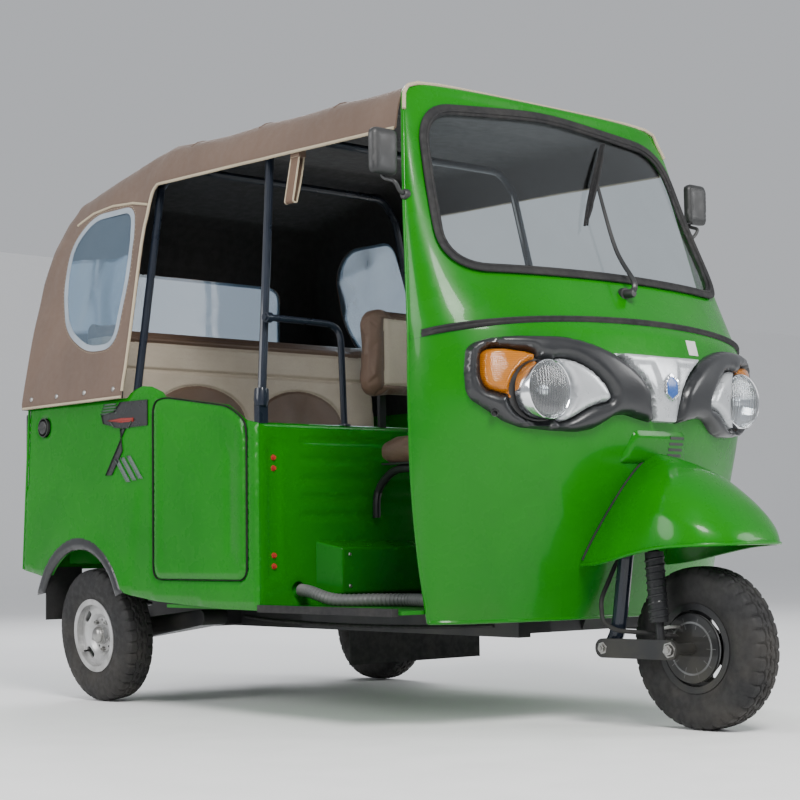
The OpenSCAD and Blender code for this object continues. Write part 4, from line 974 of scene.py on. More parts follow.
def mirrors():
    for s, word in ((-1, "right"), (1, "left")):
        cx, cy, cz = s * 0.630, -0.576, 1.505
        outline = round_poly([(-43, -61), (43, -61), (44, 61), (-44, 61)], 20, 6)

        def place(x, z, h):
            return Vector((cx + x * MM, cy - 0.004 - h, cz + z * MM))
        shell = patch(outline, [], 7, place, rounded(0.010, 26))
        v, f = skirt(*shell, lambda p: Vector((cx + (p[0] - cx) * 0.985, cy + 0.0095, cz + (p[2] - cz) * 0.985)))
        piece("mirror_shell_" + word, v, f, "black_plastic", slot="black_plastic", replaces=("mirrors",), sharp=60)
        face = patch(shrink(outline, 1.5), [], 12, lambda x, z, h: Vector((cx + x * MM, cy + 0.0085, cz + z * MM)),
                     level)
        piece("mirror_rim_" + word, *skirt(*face, lambda p: Vector((p[0], cy, p[2]))), "black_plastic",
              slot="black_plastic")
        glass = patch(shrink(outline, 6), [], 12, lambda x, z, h: Vector((cx + x * MM, cy + 0.0115, cz + z * MM)),
                      level)
        piece("mirror_glass_" + word, *skirt(*glass, lambda p: Vector((p[0], cy + 0.006, p[2]))), "mirror",
              slot="glass")
        hw, off = along(COWL, 1395)[:2]
        foot = Vector((s * (hw - 2) * MM, (COWL_FOOT + off - 8) * MM, 1.395))
        arm = smooth_path([foot, foot + Vector((s * 0.022, -0.003, 0.006)), foot + Vector((s * 0.040, -0.002, 0.030)),
                           Vector((cx - s * 0.012, cy + 0.017, cz - 0.062)),
                           Vector((cx - s * 0.002, cy + 0.015, cz - 0.020))], 8)
        parts = [sweep(arm, 0.0055, 10)]
        parts.append(lathe([(0.0, 0.012), (0.010, 0.011), (0.014, 0.006), (0.015, -0.004)], foot, (s, -0.1, 0), 20))
        parts.append(lathe([(0.0, 0.006), (0.014, 0.006), (0.018, 0.0), (0.018, -0.008)],
                           Vector((cx - s * 0.002, cy + 0.014, cz - 0.020)), (0, 1, 0), 20))
        piece("mirror_arm_" + word, *join(parts), "black_plastic", slot="black_plastic")


# ---------------------------------------------------------------- canopy

HOOPS = [(-516, 1728, -516), (-216, 1734, -216), (134, 1740, 134), (484, 1746, 484), (599, 1754, 599),
         (684, 1740, 684), (884, 1702, 864), (1132, 1650, 1032), (1182, 1612, 1112), (1232, 1542, 1172),
         (1258, 1452, 1212), (1264, 1322, 1232), (1262, 1142, 1240), (1252, 982, 1248)]
DOORWAY = [(-576, 800), (-576, 1590), (84, 1606), (622, 1618), (648, 1596), (660, 1486), (646, 1250), (634, 1028),
           (642, 800)]
SIDE_WINDOW = [(739, 1560), (709, 1340), (731, 1112), (881, 1112), (1026, 1185), (1086, 1320), (1089, 1480),
               (991, 1562)]
REAR_WINDOW = [(-430, 1180), (430, 1180), (430, 1440), (-430, 1440)]


INNER_FACE = 0.003      # a face this far from the outer surface is the cloth's inner side


def canopy_half(z):
    return 660.3 - 120.3 * max(0, min(1, (z - 960) / 640))


def crumple(y, z, side):
    """Soft folds of the cloth, in metres: slack above the hem and drawn creases at the rear corner."""
    fold = 0.0022 * math.sin(y * 21 + z * 9 + side) * math.sin(z * 13 - y * 5)
    if side:
        fold += 0.004 * math.exp(-((y - 0.69) / 0.10) ** 2) * math.sin(z * 34 + y * 25) * (
            max(0, min(1, (z - 1.2) * 3)))
        fold += 0.003 * math.exp(-((z - 0.99) / 0.05) ** 2) * math.sin(y * 47)
        fold += 0.0035 * math.exp(-((y - 1.14) / 0.09) ** 2) * math.sin(z * 19 + y * 40)
    return fold


def canopy_grid():
    stations = []
    for i, (a, b) in enumerate(zip(HOOPS[:-1], HOOPS[1:])):
        n = max(2, round(abs(b[0] - a[0] + abs(b[1] - a[1])) / 26))
        for k in range(n):
            u = k / n
            h = [a[j] + (b[j] - a[j]) * u for j in range(3)]
            stations.append((*h, 5.0 * math.sin(math.pi * u) if i < 3 else 0.0))
    stations.append((*HOOPS[-1], 0.0))
    count = 46
    levels = [(-1, k / 12 * 0.72) for k in range(12)]
    around = []
    for k in range(count + 1):
        a = math.pi - math.pi * k / count
        f = max(0.0, math.sin(a)) ** 0.2
        if f > 0.72:
            around.append((math.cos(a), f))
    levels += around + [(1, f) for _, f in reversed(levels)]
    rows = []
    for top_y, top_z, foot_y, sag in stations:
        row = []
        for c, f in levels:
            z = 940 + (top_z - 940) * f
            y = foot_y + (top_y - foot_y) * f
            x = canopy_half(z) * power(c, 0.12)
            roof = max(0.0, 1 - abs(c)) if f > 0.9 else 0.0
            z2 = z - sag * min(1, roof * 2.5)
            slack = crumple(y * MM, z * MM, 1 if c < 0 else -1) * 1000 * min(1, 3 * f) if f < 0.985 else 0.0
            x -= math.copysign(abs(slack) * 0.5 - slack * 0.5, x)
            row.append(Vector((x, y, z2)) * MM)
        rows.append(row)
    return rows


def canopy():
    rows = canopy_grid()
    m = len(rows[0])
    verts = [p for r in rows for p in r]
    faces = [(i * m + k, i * m + k + 1, (i + 1) * m + k + 1, (i + 1) * m + k) for i in range(len(rows) - 1)
             for k in range(m - 1)]
    faces.append(tuple((len(rows) - 1) * m + k for k in range(m)))
    tree = surface(verts, faces)
    me = bpy.data.meshes.new("shell")
    me.from_pydata([tuple(v) for v in verts], [], faces)
    bm = bmesh.new()
    bm.from_mesh(me)
    bmesh.ops.recalc_face_normals(bm, faces=bm.faces)
    # rear panel is one large face: split it so that it can carry folds
    big = max(bm.faces, key=lambda f: len(f.verts))
    bmesh.ops.triangulate(bm, faces=[big])
    bm.to_mesh(me)
    bm.free()
    shell = bpy.data.objects.new("shell", me)
    bpy.context.scene.collection.objects.link(shell)
    if sum(p.normal.z * p.area for p in me.polygons) < 0:
        me.flip_normals()
    modify(shell, "SOLIDIFY", thickness=0.0045, offset=-1)
    cutters = []
    for poly, axis, lo, hi in ((DOORWAY, 0, -0.8, 0.8), (round_poly(SIDE_WINDOW, 60, 6), 0, -0.8, 0.8),
                               (round_poly(REAR_WINDOW, 60, 6), 1, 1.05, 1.35)):
        v = []
        for d in (lo, hi):
            for a, b in poly:
                v.append((d, a * MM, b * MM) if axis == 0 else (a * MM, d, b * MM))
        n = len(poly)
        f = [tuple(range(n))[::-1], tuple(range(n, 2 * n))]
        f += [(k, (k + 1) % n, n + (k + 1) % n, n + k) for k in range(n)]
        cm = bpy.data.meshes.new("cutter")
        cm.from_pydata(v, [], f)
        bm = bmesh.new()
        bm.from_mesh(cm)
        bmesh.ops.recalc_face_normals(bm, faces=bm.faces)
        bm.to_mesh(cm)
        bm.free()
        c = bpy.data.objects.new("cutter", cm)
        bpy.context.scene.collection.objects.link(c)
        cutters.append(c)
        modify(shell, "BOOLEAN", object=c, operation="DIFFERENCE", solver="EXACT")
    apply(shell)
    for c in cutters:
        bpy.data.objects.remove(c)
    # second, nearly black material on faces that look inwards: painted shade of the canopy's interior
    me = shell.data
    me.materials.clear()
    me.materials.append(M["canvas"])
    me.materials.append(M["painted_shade_ceiling"])
    for p in me.polygons:
        p.material_index = 1 if tree.find_nearest(p.center)[3] > INNER_FACE else 0
    name = finish_piece("canopy_cloth", me, None, slot="brown_canvas", replaces=("canopy",), sharp=35)
    bpy.data.objects.remove(shell)
    trims = canopy_trims(tree)
    return tree


def on_canopy(tree, s, y, z, out=0.0):
    hit = tree.ray_cast(Vector((s * 0.9, y, z)), Vector((-s, 0, 0)))[0]
    if hit is None:
        hit = tree.find_nearest(Vector((s * 0.6, y, z)))[0]
    return hit + Vector((s * out, 0, 0))


def canopy_trims(tree):
    out = []
    for s, word in ((-1, "right"), (1, "left")):
        line = [(-512, 1592), (-216, 1599.5), (84, 1607.5), (352, 1613.5), (600, 1619), (624, 1619), (642, 1606),
                (650, 1592), (661, 1486), (655, 1368), (647, 1250), (640, 1140), (635, 1028), (637, 962)]
        pts = [on_canopy(tree, s, y * MM, z * MM, 0.0015) for y, z in evenly(line, 22, False)]
        v1, f1 = sweep(pts, 0.0048, 8)
        out.append(piece("doorway_piping_" + word, v1, f1, "piping", slot="cream_vinyl"))
        seam = [(664, 1560), (760, 1579), (884, 1588), (1000, 1580), (1090, 1552)]
        pts = [on_canopy(tree, s, y * MM, z * MM, 0.001) for y, z in evenly(seam, 22, False)]
        v, f = sweep(pts, 0.0042, 8)
        out.append(piece("roof_seam_piping_" + word, v, f, "piping", slot="cream_vinyl"))
        hem = [(640, 945), (900, 945), (1238, 945)]
        pts = [on_canopy(tree, s, y * MM, 0.9445, 0.0015) for y, z in evenly(hem, 26, False)]
        v, f = sweep(pts, 0.0042, 8)
        out.append(piece("hem_piping_" + word, v, f, "piping", slot="cream_vinyl"))
        parts = []
        for y in (0.69, 0.86, 1.03, 1.19):
            p = on_canopy(tree, s, y, 0.972, 0.0)
            parts.append(lathe([(0.0, 0.0045), (0.005, 0.004), (0.0075, 0.0025), (0.0085, -0.001)], p, (s, 0, 0.1),
                               18))
        out.append(piece("hem_snaps_" + word, *join(parts), "steel", slot="silver_plastic"))
        # welded border and clear sheet of the side window
        frame_line = round_poly(SIDE_WINDOW, 60, 6)

        def place(y, z, h):
            return on_canopy(tree, s, y * MM, z * MM, h)
        border = patch(shrink(frame_line, -9), [shrink(frame_line, 10)], 16, place, lambda d, x, y: 0.0012)
        out.append(piece("window_border_" + word, *skirt(*border, lambda p: Vector((p[0] - s * 0.0025, p[1], p[2]))),
                         "border", slot="clear_sheet"))
        sheet = patch(shrink(frame_line, -2), [], 24, place,
                      lambda d, x, y: -0.0022 + 0.0012 * math.sin(x * 0.021) * math.sin(y * 0.017))
        out.append(piece("side_window_" + word, *sheet, "sheet", slot="clear_sheet", replaces=("canopy_windows",)))
        stitch = []
        ring = shrink(frame_line, -15)
        for k, (y, z) in enumerate(evenly(ring, 9)):
            if k % 2 == 0:
                p = on_canopy(tree, s, y * MM, z * MM, 0.0006)
                stitch.append(block((p.x - 0.0005, p.y - 0.0022, p.z - 0.0008),
                                    (p.x + 0.0005, p.y + 0.0022, p.z + 0.0008)))
        out.append(piece("window_stitches_" + word, *join(stitch), "piping", slot="cream_vinyl"))
    frame_line = round_poly(REAR_WINDOW, 60, 6)

    def behind(x, z, h):
        hit = tree.ray_cast(Vector((x * MM, 1.5, z * MM)), Vector((0, -1, 0)))[0]
        return (hit or Vector((x * MM, 1.25, z * MM))) + Vector((0, h, 0))
    border = patch(shrink(frame_line, -9), [shrink(frame_line, 10)], 22, behind, lambda d, x, y: 0.0015)
    out.append(piece("window_border_rear", *skirt(*border, lambda p: Vector((p[0], p[1] - 0.003, p[2]))), "border",
                     slot="clear_sheet"))
    sheet = patch(shrink(frame_line, -2), [], 30, behind, lambda d, x, y: -0.002)
    out.append(piece("rear_window", *sheet, "sheet", slot="clear_sheet"))
    # cross seams on the roof over each hoop
    for k, y in enumerate((-0.216, 0.134, 0.484)):
        pts = [tree.ray_cast(Vector((x * 0.02, y, 2.2)), Vector((0, 0, -1)))[0] for x in range(-25, 26)]
        v, f = sweep([p + Vector((0, 0, 0.0004)) for p in pts if p], 0.0028, 6)
        out.append(piece("roof_seam_%d" % k, v, f, "canvas", slot="brown_canvas"))
    return out


# ---------------------------------------------------------------- tub

ARCH_Y, ARCH_Z = 903, 246


def arch_arc(radius, angles):
    return [(ARCH_Y + radius * math.cos(math.radians(a)), ARCH_Z + radius * math.sin(math.radians(a)))
            for a in angles]


ARCH = arch_arc(232, range(-8, 157, 4))
SIDE_RIGHT = [(1262, 411), (1094, 384), (614, 336), (473, 320), (129, 304), (-38, 303), (-38, 826), (18, 838),
              (102, 886), (424, 931), (440, 946), (500, 967), (549, 972), (590, 964), (616, 955), (638, 941),
              (927, 948), (1226, 956)]
SIDE_LEFT = [(1262, 411), (1094, 384), (614, 336), (473, 320), (129, 304), (-38, 303), (-38, 826), (2, 796),
             (22, 420), (52, 370), (392, 370), (432, 420), (462, 860), (549, 948), (927, 948), (1226, 956)]
DOOR = [(18, 388), (483, 388), (483, 918), (424, 926), (102, 880), (18, 832)]


def cut_arch(side):
    """Side outline with the wheel arch taken out of its lower edge."""
    foot_y, foot_z = side[1]
    arch = [p for p in ARCH if p[1] > foot_z - (foot_y - p[0]) * 0.1 + 2]
    return [side[0], (1131, 390)] + arch + side[2:]


def side_sheet(name, outline, s, step, lift, mat, sink=0.006, holes=(), slot="green_paint", replaces=(), sharp=38,
               base=HALF_W):
    verts, faces = patch(outline, holes, step, lambda y, z, h: Vector((s * (base + h), y * MM, z * MM)), lift)
    verts, faces = skirt(verts, faces, lambda p: Vector((s * (base - sink), p[1], p[2])))
    return piece(name, verts, faces, mat, slot=slot, replaces=replaces, sharp=sharp)


def bump(v, centre, width):
    return math.exp(-((v - centre) / width) ** 2)


def side_press(d, y, z):
    """Relief of the tub's side in metres: rolled edge, flare round the wheel, ledge, pinch behind the door panel."""
    h = -0.006 * (1 - min(1, d / 9)) ** 2
    r = math.hypot(y - ARCH_Y, z - ARCH_Z)
    h += 0.004 * bump(r, 262, 34)
    ledge = 1 / (1 + math.exp(-(668 + 0.02 * (y - 900) - z) / 7)) if y > 545 else 0.0
    front = 1 / (1 + math.exp(-(y - (560 + max(0, 640 - z) * 0.22)) / 7)) if y > 480 else 0.0
    h += 0.0045 * ledge * front
    return min(h, 0.0088) - 0.0045


def tub_sides():
    outer = {-1: cut_arch(SIDE_RIGHT), 1: cut_arch(SIDE_LEFT)}
    for s, word in ((-1, "right"), (1, "left")):
        holes = [round_poly(shrink(DOOR, -2.2), 40, 5)] if s < 0 else []
        if s < 0:
            holes.append([(1128 + 31 * math.cos(a * 0.2618), 876 + 31 * math.sin(a * 0.2618)) for a in range(24)])
        side_sheet("tub_panel_" + word, outer[s], s, 15, side_press, "green", 0.012, holes,
                   replaces=("tub_side_" + word,), sharp=50)
    # door-shaped panel, its pressed ledge, and the dark shut line under it
    door = round_poly(DOOR, 40, 6)

    def door_lift(d, y, z):
        h = -0.005 * (1 - min(1, d / 8)) ** 2 - 0.001
        pocket = edge_distance(np.array([(y, z)]), [[(84, 466), (108, 466), (112, 760), (84, 742)]])[0]
        side = 1 if (84 < y < 112 and 466 < z < 755) else -1
        h -= 0.004 / (1 + math.exp(-(pocket * side + 2) / 4))
        frame_ = min(1, max(0, (d - 34) / 14))
        return h - 0.0022 * frame_
    side_sheet("door_panel", door, -1, 12, door_lift, "green", 0.010, sharp=50)
    side_sheet("door_shut_line", round_poly(shrink(DOOR, -5), 40, 5), -1, 40, lambda d, y, z: -0.0095, "rubber",
               0.002, slot="black_rubber")
    # decals: plain stripes and bars without any lettering
    def decal(name, poly, mat, h=0.0006):
        side_sheet(name, poly, -1, 14, lambda d, y, z: side_press(50, y, z) + h, mat, 0.0, slot="black_plastic")
    decal("decal_block", [(512, 928), (512, 850), (662, 848), (762, 868), (772, 894), (700, 902), (664, 930)],
          "decal", 0.0007)
    for k in range(4):
        decal("decal_stripe_%d" % k,
              [(688, 928 - 9 * k), (690, 924 - 9 * k), (760 + 6 * k, 924 - 9 * k), (756 + 6 * k, 928 - 9 * k)],
              "decal_grey")
    decal("decal_red_stripe", [(592, 878), (592, 866), (660, 866), (742, 876), (660, 880)], "decal_red", 0.0012)
    decal("decal_stroke", [(636, 846), (664, 846), (652, 778), (712, 706), (748, 706), (680, 790)], "decal", 0.0007)
    decal("decal_stroke_tail", [(600, 872), (720, 872), (700, 852), (620, 846)], "decal_grey")
    for k in range(3):
        a = 540 + 34 * k
        decal("decal_bar_%d" % k, [(a, 690 - 4 * k), (a + 20, 690 - 4 * k), (a + 88, 762 - 4 * k),
                                   (a + 68, 762 - 4 * k)], "decal_grey")
    # arch trims as rounded moulded strips
    for s, word in ((-1, "right"), (1, "left")):
        strip = arch_arc(271, range(18, 161, 3)) + arch_arc(231, range(158, 20, -3))
        side_sheet("arch_trim_" + word, strip, s, 9, lambda d, y, z: 0.0006 + 0.0072 * rise(d, 15),
                   "gloss_black", 0.004, slot="black_plastic", replaces=("arch_trims",), sharp=50)
    # fuel filler: recessed cup, cap with grip bar
    at = Vector((-HALF_W, 1.128, 0.876))
    v1, f1 = lathe([(0.0308, -0.002), (0.0315, 0.001), (0.0285, 0.0015), (0.0275, -0.010)], at, (-1, 0, 0), 40)
    v2, f2 = lathe([(0.0, 0.0055), (0.018, 0.005), (0.0215, 0.003), (0.0225, -0.001), (0.0225, -0.010)], at,
                   (-1, 0, 0), 40)
    v3, f3 = block((-0.659, 1.110, 0.871), (-0.652, 1.146, 0.881), 0.002)
    piece("filler_cap", *join([(v1, f1), (v2, f2), (v3, f3)]), "black_plastic", slot="black_plastic",
          replaces=("fuel_cap",))
    # joint at the rear corners
    for s, word in ((-1, "right"), (1, "left")):
        pts = [Vector((s * 0.6465, 1.2585 - 0.036 * k / 24, 0.414 + 0.540 * k / 24)) for k in range(25)]
        piece("tail_corner_" + word, *sweep(pts, 0.0042, 8), "green", slot="green_paint")


def bulkhead():
    """Pressed partition with rolled edge, shallow bolt panels, ribs and an access cover."""
    y0 = TUB_FRONT
    rib_heights = (781, 726, 672, 619, 566)
    outline = [(-638, 303), (638, 303), (638, 826), (-638, 826)]

    def lift(d, x, z):
        h = -0.003 * (1 - min(1, d / 8)) ** 2
        for r in rib_heights:
            if abs(x) < 500:
                h -= 0.0048 * bump(z, r, 7.5) / (1 + math.exp((abs(x) - 486) / 4))
        if 560 < abs(x) < 612 and 385 < z < 788:
            k = min(abs(x) - 563, 609 - abs(x), z - 390, 783 - z)
            h -= 0.0045 / (1 + math.exp(-(k - 3) / 2))
        return h

    verts, faces = patch(outline, [circle(-500, 357, 24, 28)], 11, lambda x, z, h: Vector((x * MM, y0 - h, z * MM)),
                         lift)
    verts, faces = skirt(verts, faces, lambda p: Vector((p[0], y0 + 0.024, p[2])))
    piece("partition", verts, faces, "green", slot="green_paint", replaces=("bulkhead",), sharp=50)
    back = [(-0.638, y0 + 0.024, 0.303), (0.638, y0 + 0.024, 0.303), (0.638, y0 + 0.024, 0.826),
            (-0.638, y0 + 0.024, 0.826)]
    piece("partition_back", back, [(0, 1, 2, 3)], "green_inner", slot="green_paint")
    pts = [Vector((x, y0 + 0.012, 0.826)) for x in (-0.632, 0.632)]
    piece("partition_top_lip",
          *sweep([pts[0].lerp(pts[1], k / 20) for k in range(21)], 0.0115, 10, flat=0.28, normal=(0, 0, 1)), "green",
          slot="green_paint")
    parts = []
    for s in (-1, 1):
        for z in (425, 455, 700, 730):
            parts.append(lathe([(0.0, 0.008), (0.0055, 0.0078), (0.0062, 0.006), (0.0062, 0.0015), (0.009, 0.001),
                                (0.0095, -0.001)],
                               (s * 0.586, y0 + 0.004, z * MM), (0, -1, 0), 6))
    piece("partition_bolts", *join(parts), "red_bolt", slot="red_lens")

    def ring(a, b, y):
        return [(-a, y, b[0]), (a, y, b[0]), (a, y, b[1]), (-a, y, b[1])]
    lv = ring(0.438, (0.330, 0.494), y0) + ring(0.402, (0.343, 0.476), y0 - 0.064)
    lv += ring(0.398, (0.346, 0.473), y0 - 0.070)
    lf = [(0, 1, 5, 4), (1, 2, 6, 5), (2, 3, 7, 6), (3, 0, 4, 7), (4, 5, 9, 8), (5, 6, 10, 9), (6, 7, 11, 10),
          (7, 4, 8, 11), (8, 9, 10, 11)]
    o = piece("access_cover", lv, lf, "green", slot="green_paint", sharp=50)
    modify(o, "BEVEL", width=0.006, segments=3, limit_method="ANGLE", angle_limit=math.radians(25))
    apply(o)
    screws = [lathe([(0.0, 0.003), (0.004, 0.0025), (0.006, 0.0)], (x, y0 - 0.070, z), (0, -1, 0), 12)
              for x in (-0.37, 0.37) for z in (0.365, 0.455)]
    piece("cover_screws", *join(screws), "steel", slot="silver_plastic")


# ---------------------------------------------------------------- wheels

TYRE = [(101.6, -44), (115, -44.5), (124, -47.5), (135.6, -52.5), (144, -53.6), (152, -54), (160, -53.8),
        (168, -53.2), (174.5, -52.6), (180, -51.4), (186, -50.4), (190.5, -48.5), (195, -46), (199.5, -43.4),
        (203, -40.5), (205.6, -37), (206.3, -33), (207, -28), (207.6, -22), (208, -16), (208.2, -10), (208.4, -4)]


def tyre(name, centre, outer, node, body):
    profile = TYRE + [(208.45, 0)] + [(r, -h) for r, h in reversed(TYRE)]
    # extra rows across the tread, so that grooves have clean walls
    rows = []
    for (r0, h0), (r1, h1) in zip(profile[:-1], profile[1:]):
        n = 3 if min(r0, r1) > 194 else 1
        rows += [(r0 + (r1 - r0) * k / n, h0 + (h1 - h0) * k / n) for k in range(n)]
    rows.append(profile[-1])
    count = 216
    axis = Vector(outer).normalized()
    u = Vector((0, 0, 1)) - axis * axis.z
    u.normalize()
    v = axis.cross(u)
    c = Vector(centre)
    verts = []
    for k in range(count):
        a = 2 * math.pi * k / count
        d = u * math.cos(a) + v * math.sin(a)
        for r, h in rows:
            depth = 0.0
            side = abs(h)
            if r > 203:
                for g in (0.0, 17.0):
                    if abs(side - g - 2.6 * math.sin(a * 36 + g)) < 2.2:
                        depth = 4.5
                if side > 21 and (k + (3 if h > 0 else 0)) % 6 == 0:
                    depth = 5.0
                if 3.5 < side < 15 and (k + (2 if h > 0 else 4)) % 6 == 0:
                    depth = 3.2
            elif r > 194 and (k + (3 if h > 0 else 0)) % 6 == 0:
                depth = 4.2
            elif 186 < r <= 194:
                depth = 0.7 if k % 3 == 0 else 0.0
            ring = 0.9 * bump(r, 128, 2.2) + 0.8 * bump(r, 178, 1.6) - 0.5 * bump(r, 140, 1.5)
            verts.append(c + axis * ((h + math.copysign(ring if abs(h) > 40 else 0, h)) * MM)
                         + d * ((r - depth) * MM))
    m = len(rows)
    faces = []
    for k in range(count):
        for i in range(m - 1):
            faces.append((k * m + i, k * m + i + 1, ((k + 1) % count) * m + i + 1, ((k + 1) % count) * m + i))
        faces.append((k * m + m - 1, k * m, ((k + 1) % count) * m, ((k + 1) % count) * m + m - 1))
    return piece(name, verts, faces, "tyre", body, "tyre_rubber", (node,), sharp=32)


def wheel_fittings(name, centre, outer, body, hub, cap):
    """Nuts on their studs, hub cap and valve, on the outer face of a wheel."""
    axis = Vector(outer).normalized()
    u = (Vector((0, 0, 1)) - axis * axis.z).normalized()
    v = axis.cross(u)
    c = Vector(centre)
    parts = []
    for k in range(5):
        a = math.radians(72 * k + 36)
        p = c + (u * math.cos(a) + v * math.sin(a)) * 0.046 + axis * 0.010
        parts.append(lathe([(0.0, 0.0165), (0.0036, 0.0165), (0.0036, 0.012), (0.0072, 0.0115), (0.0078, 0.010),
                            (0.0078, 0.002), (0.0105, 0.0015), (0.0105, 0.0)], p, axis, 6))
    piece(name + "_nuts", *join(parts), hub, body, "silver_rim", sharp=25)
    dome = [(0.0, cap), (0.012, cap - 0.001), (0.021, cap - 0.005), (0.0245, cap - 0.010), (0.0255, cap - 0.016),
            (0.0285, 0.028), (0.0295, 0.0265), (0.0295, 0.024)]
    piece(name + "_hub_cap", *lathe(dome, c, axis, 36), hub, body, "silver_rim")
    p = c + (u * math.cos(2.2) + v * math.sin(2.2)) * 0.088 + axis * 0.020
    stem = lathe([(0.0, 0.022), (0.003, 0.0215), (0.0034, 0.014), (0.0028, 0.012), (0.0036, 0.004), (0.0055, 0.0)], p,
                 axis, 12)
    piece(name + "_valve", *stem, "rubber", body, "black_rubber")


HUB_Z = 0.21018
WHEELS = {
    "rear_right": ((-0.575, REAR_AXLE, HUB_Z), (-0.99664, 0, -0.08194), "rear_wheel_right", "rear_tyre_right"),
    "rear_left": ((0.575, REAR_AXLE, HUB_Z), (0.99664, 0, -0.08194), "rear_wheel_left", "rear_tyre_left"),
    "front": ((0, FRONT_AXLE, AXLE_Z), (-1, 0, 0), "front_wheel", "front_tyre"),
}


def wheels():
    for word, (centre, outer, body, tyre_node) in WHEELS.items():
        tyre("tyre_" + word, centre, outer, tyre_node, body)
        if word != "front":
            wheel_fittings("wheel_" + word, centre, outer, body, "steel", 0.044)
        else:
            wheel_fittings("wheel_front_far", centre, (1, 0, 0), body, "steel", 0.040)


# ---------------------------------------------------------------- running gear

def spring(a, b, r, wire, turns, body, name, mat="black_paint"):
    a, b = Vector(a), Vector(b)
    axis = (b - a).normalized()
    u = axis.orthogonal().normalized()
    v = axis.cross(u)
    n = turns * 18
    path = [a + (b - a) * (k / n) + (u * math.cos(2 * math.pi * k / 18) + v * math.sin(2 * math.pi * k / 18)) * r
            for k in range(n + 1)]
    return piece(name, *sweep(path, wire, 8), mat, body, "black_paint")


def tapered(a, b, profile, body, name, mat, count=28):
    """Turned part between two points; profile is (share along, radius)."""
    a, b = Vector(a), Vector(b)
    length = (b - a).length
    return piece(name, *lathe([(r, q * length) for q, r in profile], a, b - a, count), mat, body, "black_paint")


def running_gear():
    x, y = -0.112, FRONT_AXLE + 0.053
    # front spring unit: damper body, coil, dust cover, eyes
    a, b = Vector((x, y, 0.212)), Vector((x, y + 0.018, 0.478))
    tapered(a, b, [(0, 0.0), (0, 0.013), (0.06, 0.014), (0.10, 0.0115), (0.34, 0.0115), (0.35, 0.019), (0.80, 0.019),
                   (0.82, 0.024), (0.90, 0.024), (0.93, 0.012), (1, 0.012), (1, 0)],
            "steering", "front_damper", "black_paint")
    spring(a.lerp(b, 0.26), a.lerp(b, 0.88), 0.0225, 0.0042, 9, "steering", "front_coil")
    # link bolt and axle nut on the CAD link
    for name, at, r in (("front_link_bolt", (-0.1452, -0.863, 0.206), 0.011),
                        ("front_axle_nut", (-0.1452, FRONT_AXLE, AXLE_Z), 0.014)):
        piece(name, *lathe([(0.0, 0.010), (r * 0.55, 0.010), (r * 0.6, 0.006), (r, 0.0055), (r * 1.05, 0.0),
                            (r * 1.5, -0.0005)], at, (-1, 0, 0), 6), "steel", "steering", "silver_rim", sharp=25)
    # brake drum ribs on the near side of the front wheel
    drum = [(0.030, 0.052), (0.036, 0.055), (0.060, 0.056), (0.064, 0.0585), (0.068, 0.0585), (0.071, 0.056),
            (0.083, 0.055), (0.0865, 0.052), (0.088, 0.047)]
    piece("front_drum_face", *lathe(drum, (0, FRONT_AXLE, AXLE_Z), (-1, 0, 0), 60), "alloy", "steering", "cast_alloy",
          sharp=25)
    parts = []
    for k in range(10):
        a = math.radians(36 * k)
        p = Vector((-0.0555, FRONT_AXLE + 0.050 * math.cos(a), AXLE_Z + 0.050 * math.sin(a)))
        q = Vector((-0.0555, FRONT_AXLE + 0.080 * math.cos(a), AXLE_Z + 0.080 * math.sin(a)))
        parts.append(sweep([p, p.lerp(q, 0.5), q], 0.0028, 6))
    piece("front_drum_ribs", *join(parts), "alloy", "steering", "cast_alloy")
    lever = [(-0.0605, FRONT_AXLE + 0.03, 0.262), (-0.064, FRONT_AXLE + 0.060, 0.262),
             (-0.064, FRONT_AXLE + 0.10, 0.255)]
    piece("front_brake_lever", *sweep(smooth_path(lever, 5), 0.0055, 8, flat=0.5), "steel", "steering", "silver_rim")
    # rear springs
    for s, word in ((-1, "right"), (1, "left")):
        spring(Vector((s * 0.437, REAR_AXLE + 0.018, 0.280)), Vector((s * 0.405, REAR_AXLE + 0.060, 0.465)), 0.034,
               0.0055, 7, "vehicle", "rear_coil_" + word)
    # exhaust pipe, behind the rear floor
    path = smooth_path([(-0.12, 1.00, 0.225), (-0.20, 1.04, 0.222), (-0.30, 1.10, 0.240), (-0.36, 1.18, 0.250)], 8)
    piece("exhaust_tail", *sweep(path, 0.016, 14), "steel", slot="cast_alloy")
    # cable along the chassis, and the engine's fins
    cable = smooth_path([(-0.283, -0.60, 0.262), (-0.286, -0.35, 0.252), (-0.286, 0.0, 0.247), (-0.286, 0.35, 0.252),
                         (-0.283, 0.52, 0.262)], 10)
    piece("chassis_cable", *sweep(cable, 0.005, 8), "rubber", slot="black_rubber")
    fins = []
    for k in range(12):
        y = 0.915 + 0.018 * k
        fins.append(block((-0.207, y, 0.225), (0.207, y + 0.006, 0.420), 0.0015))
    piece("engine_fins", *join(fins), "alloy", slot="cast_alloy", sharp=30)


# ---------------------------------------------------------------- seats

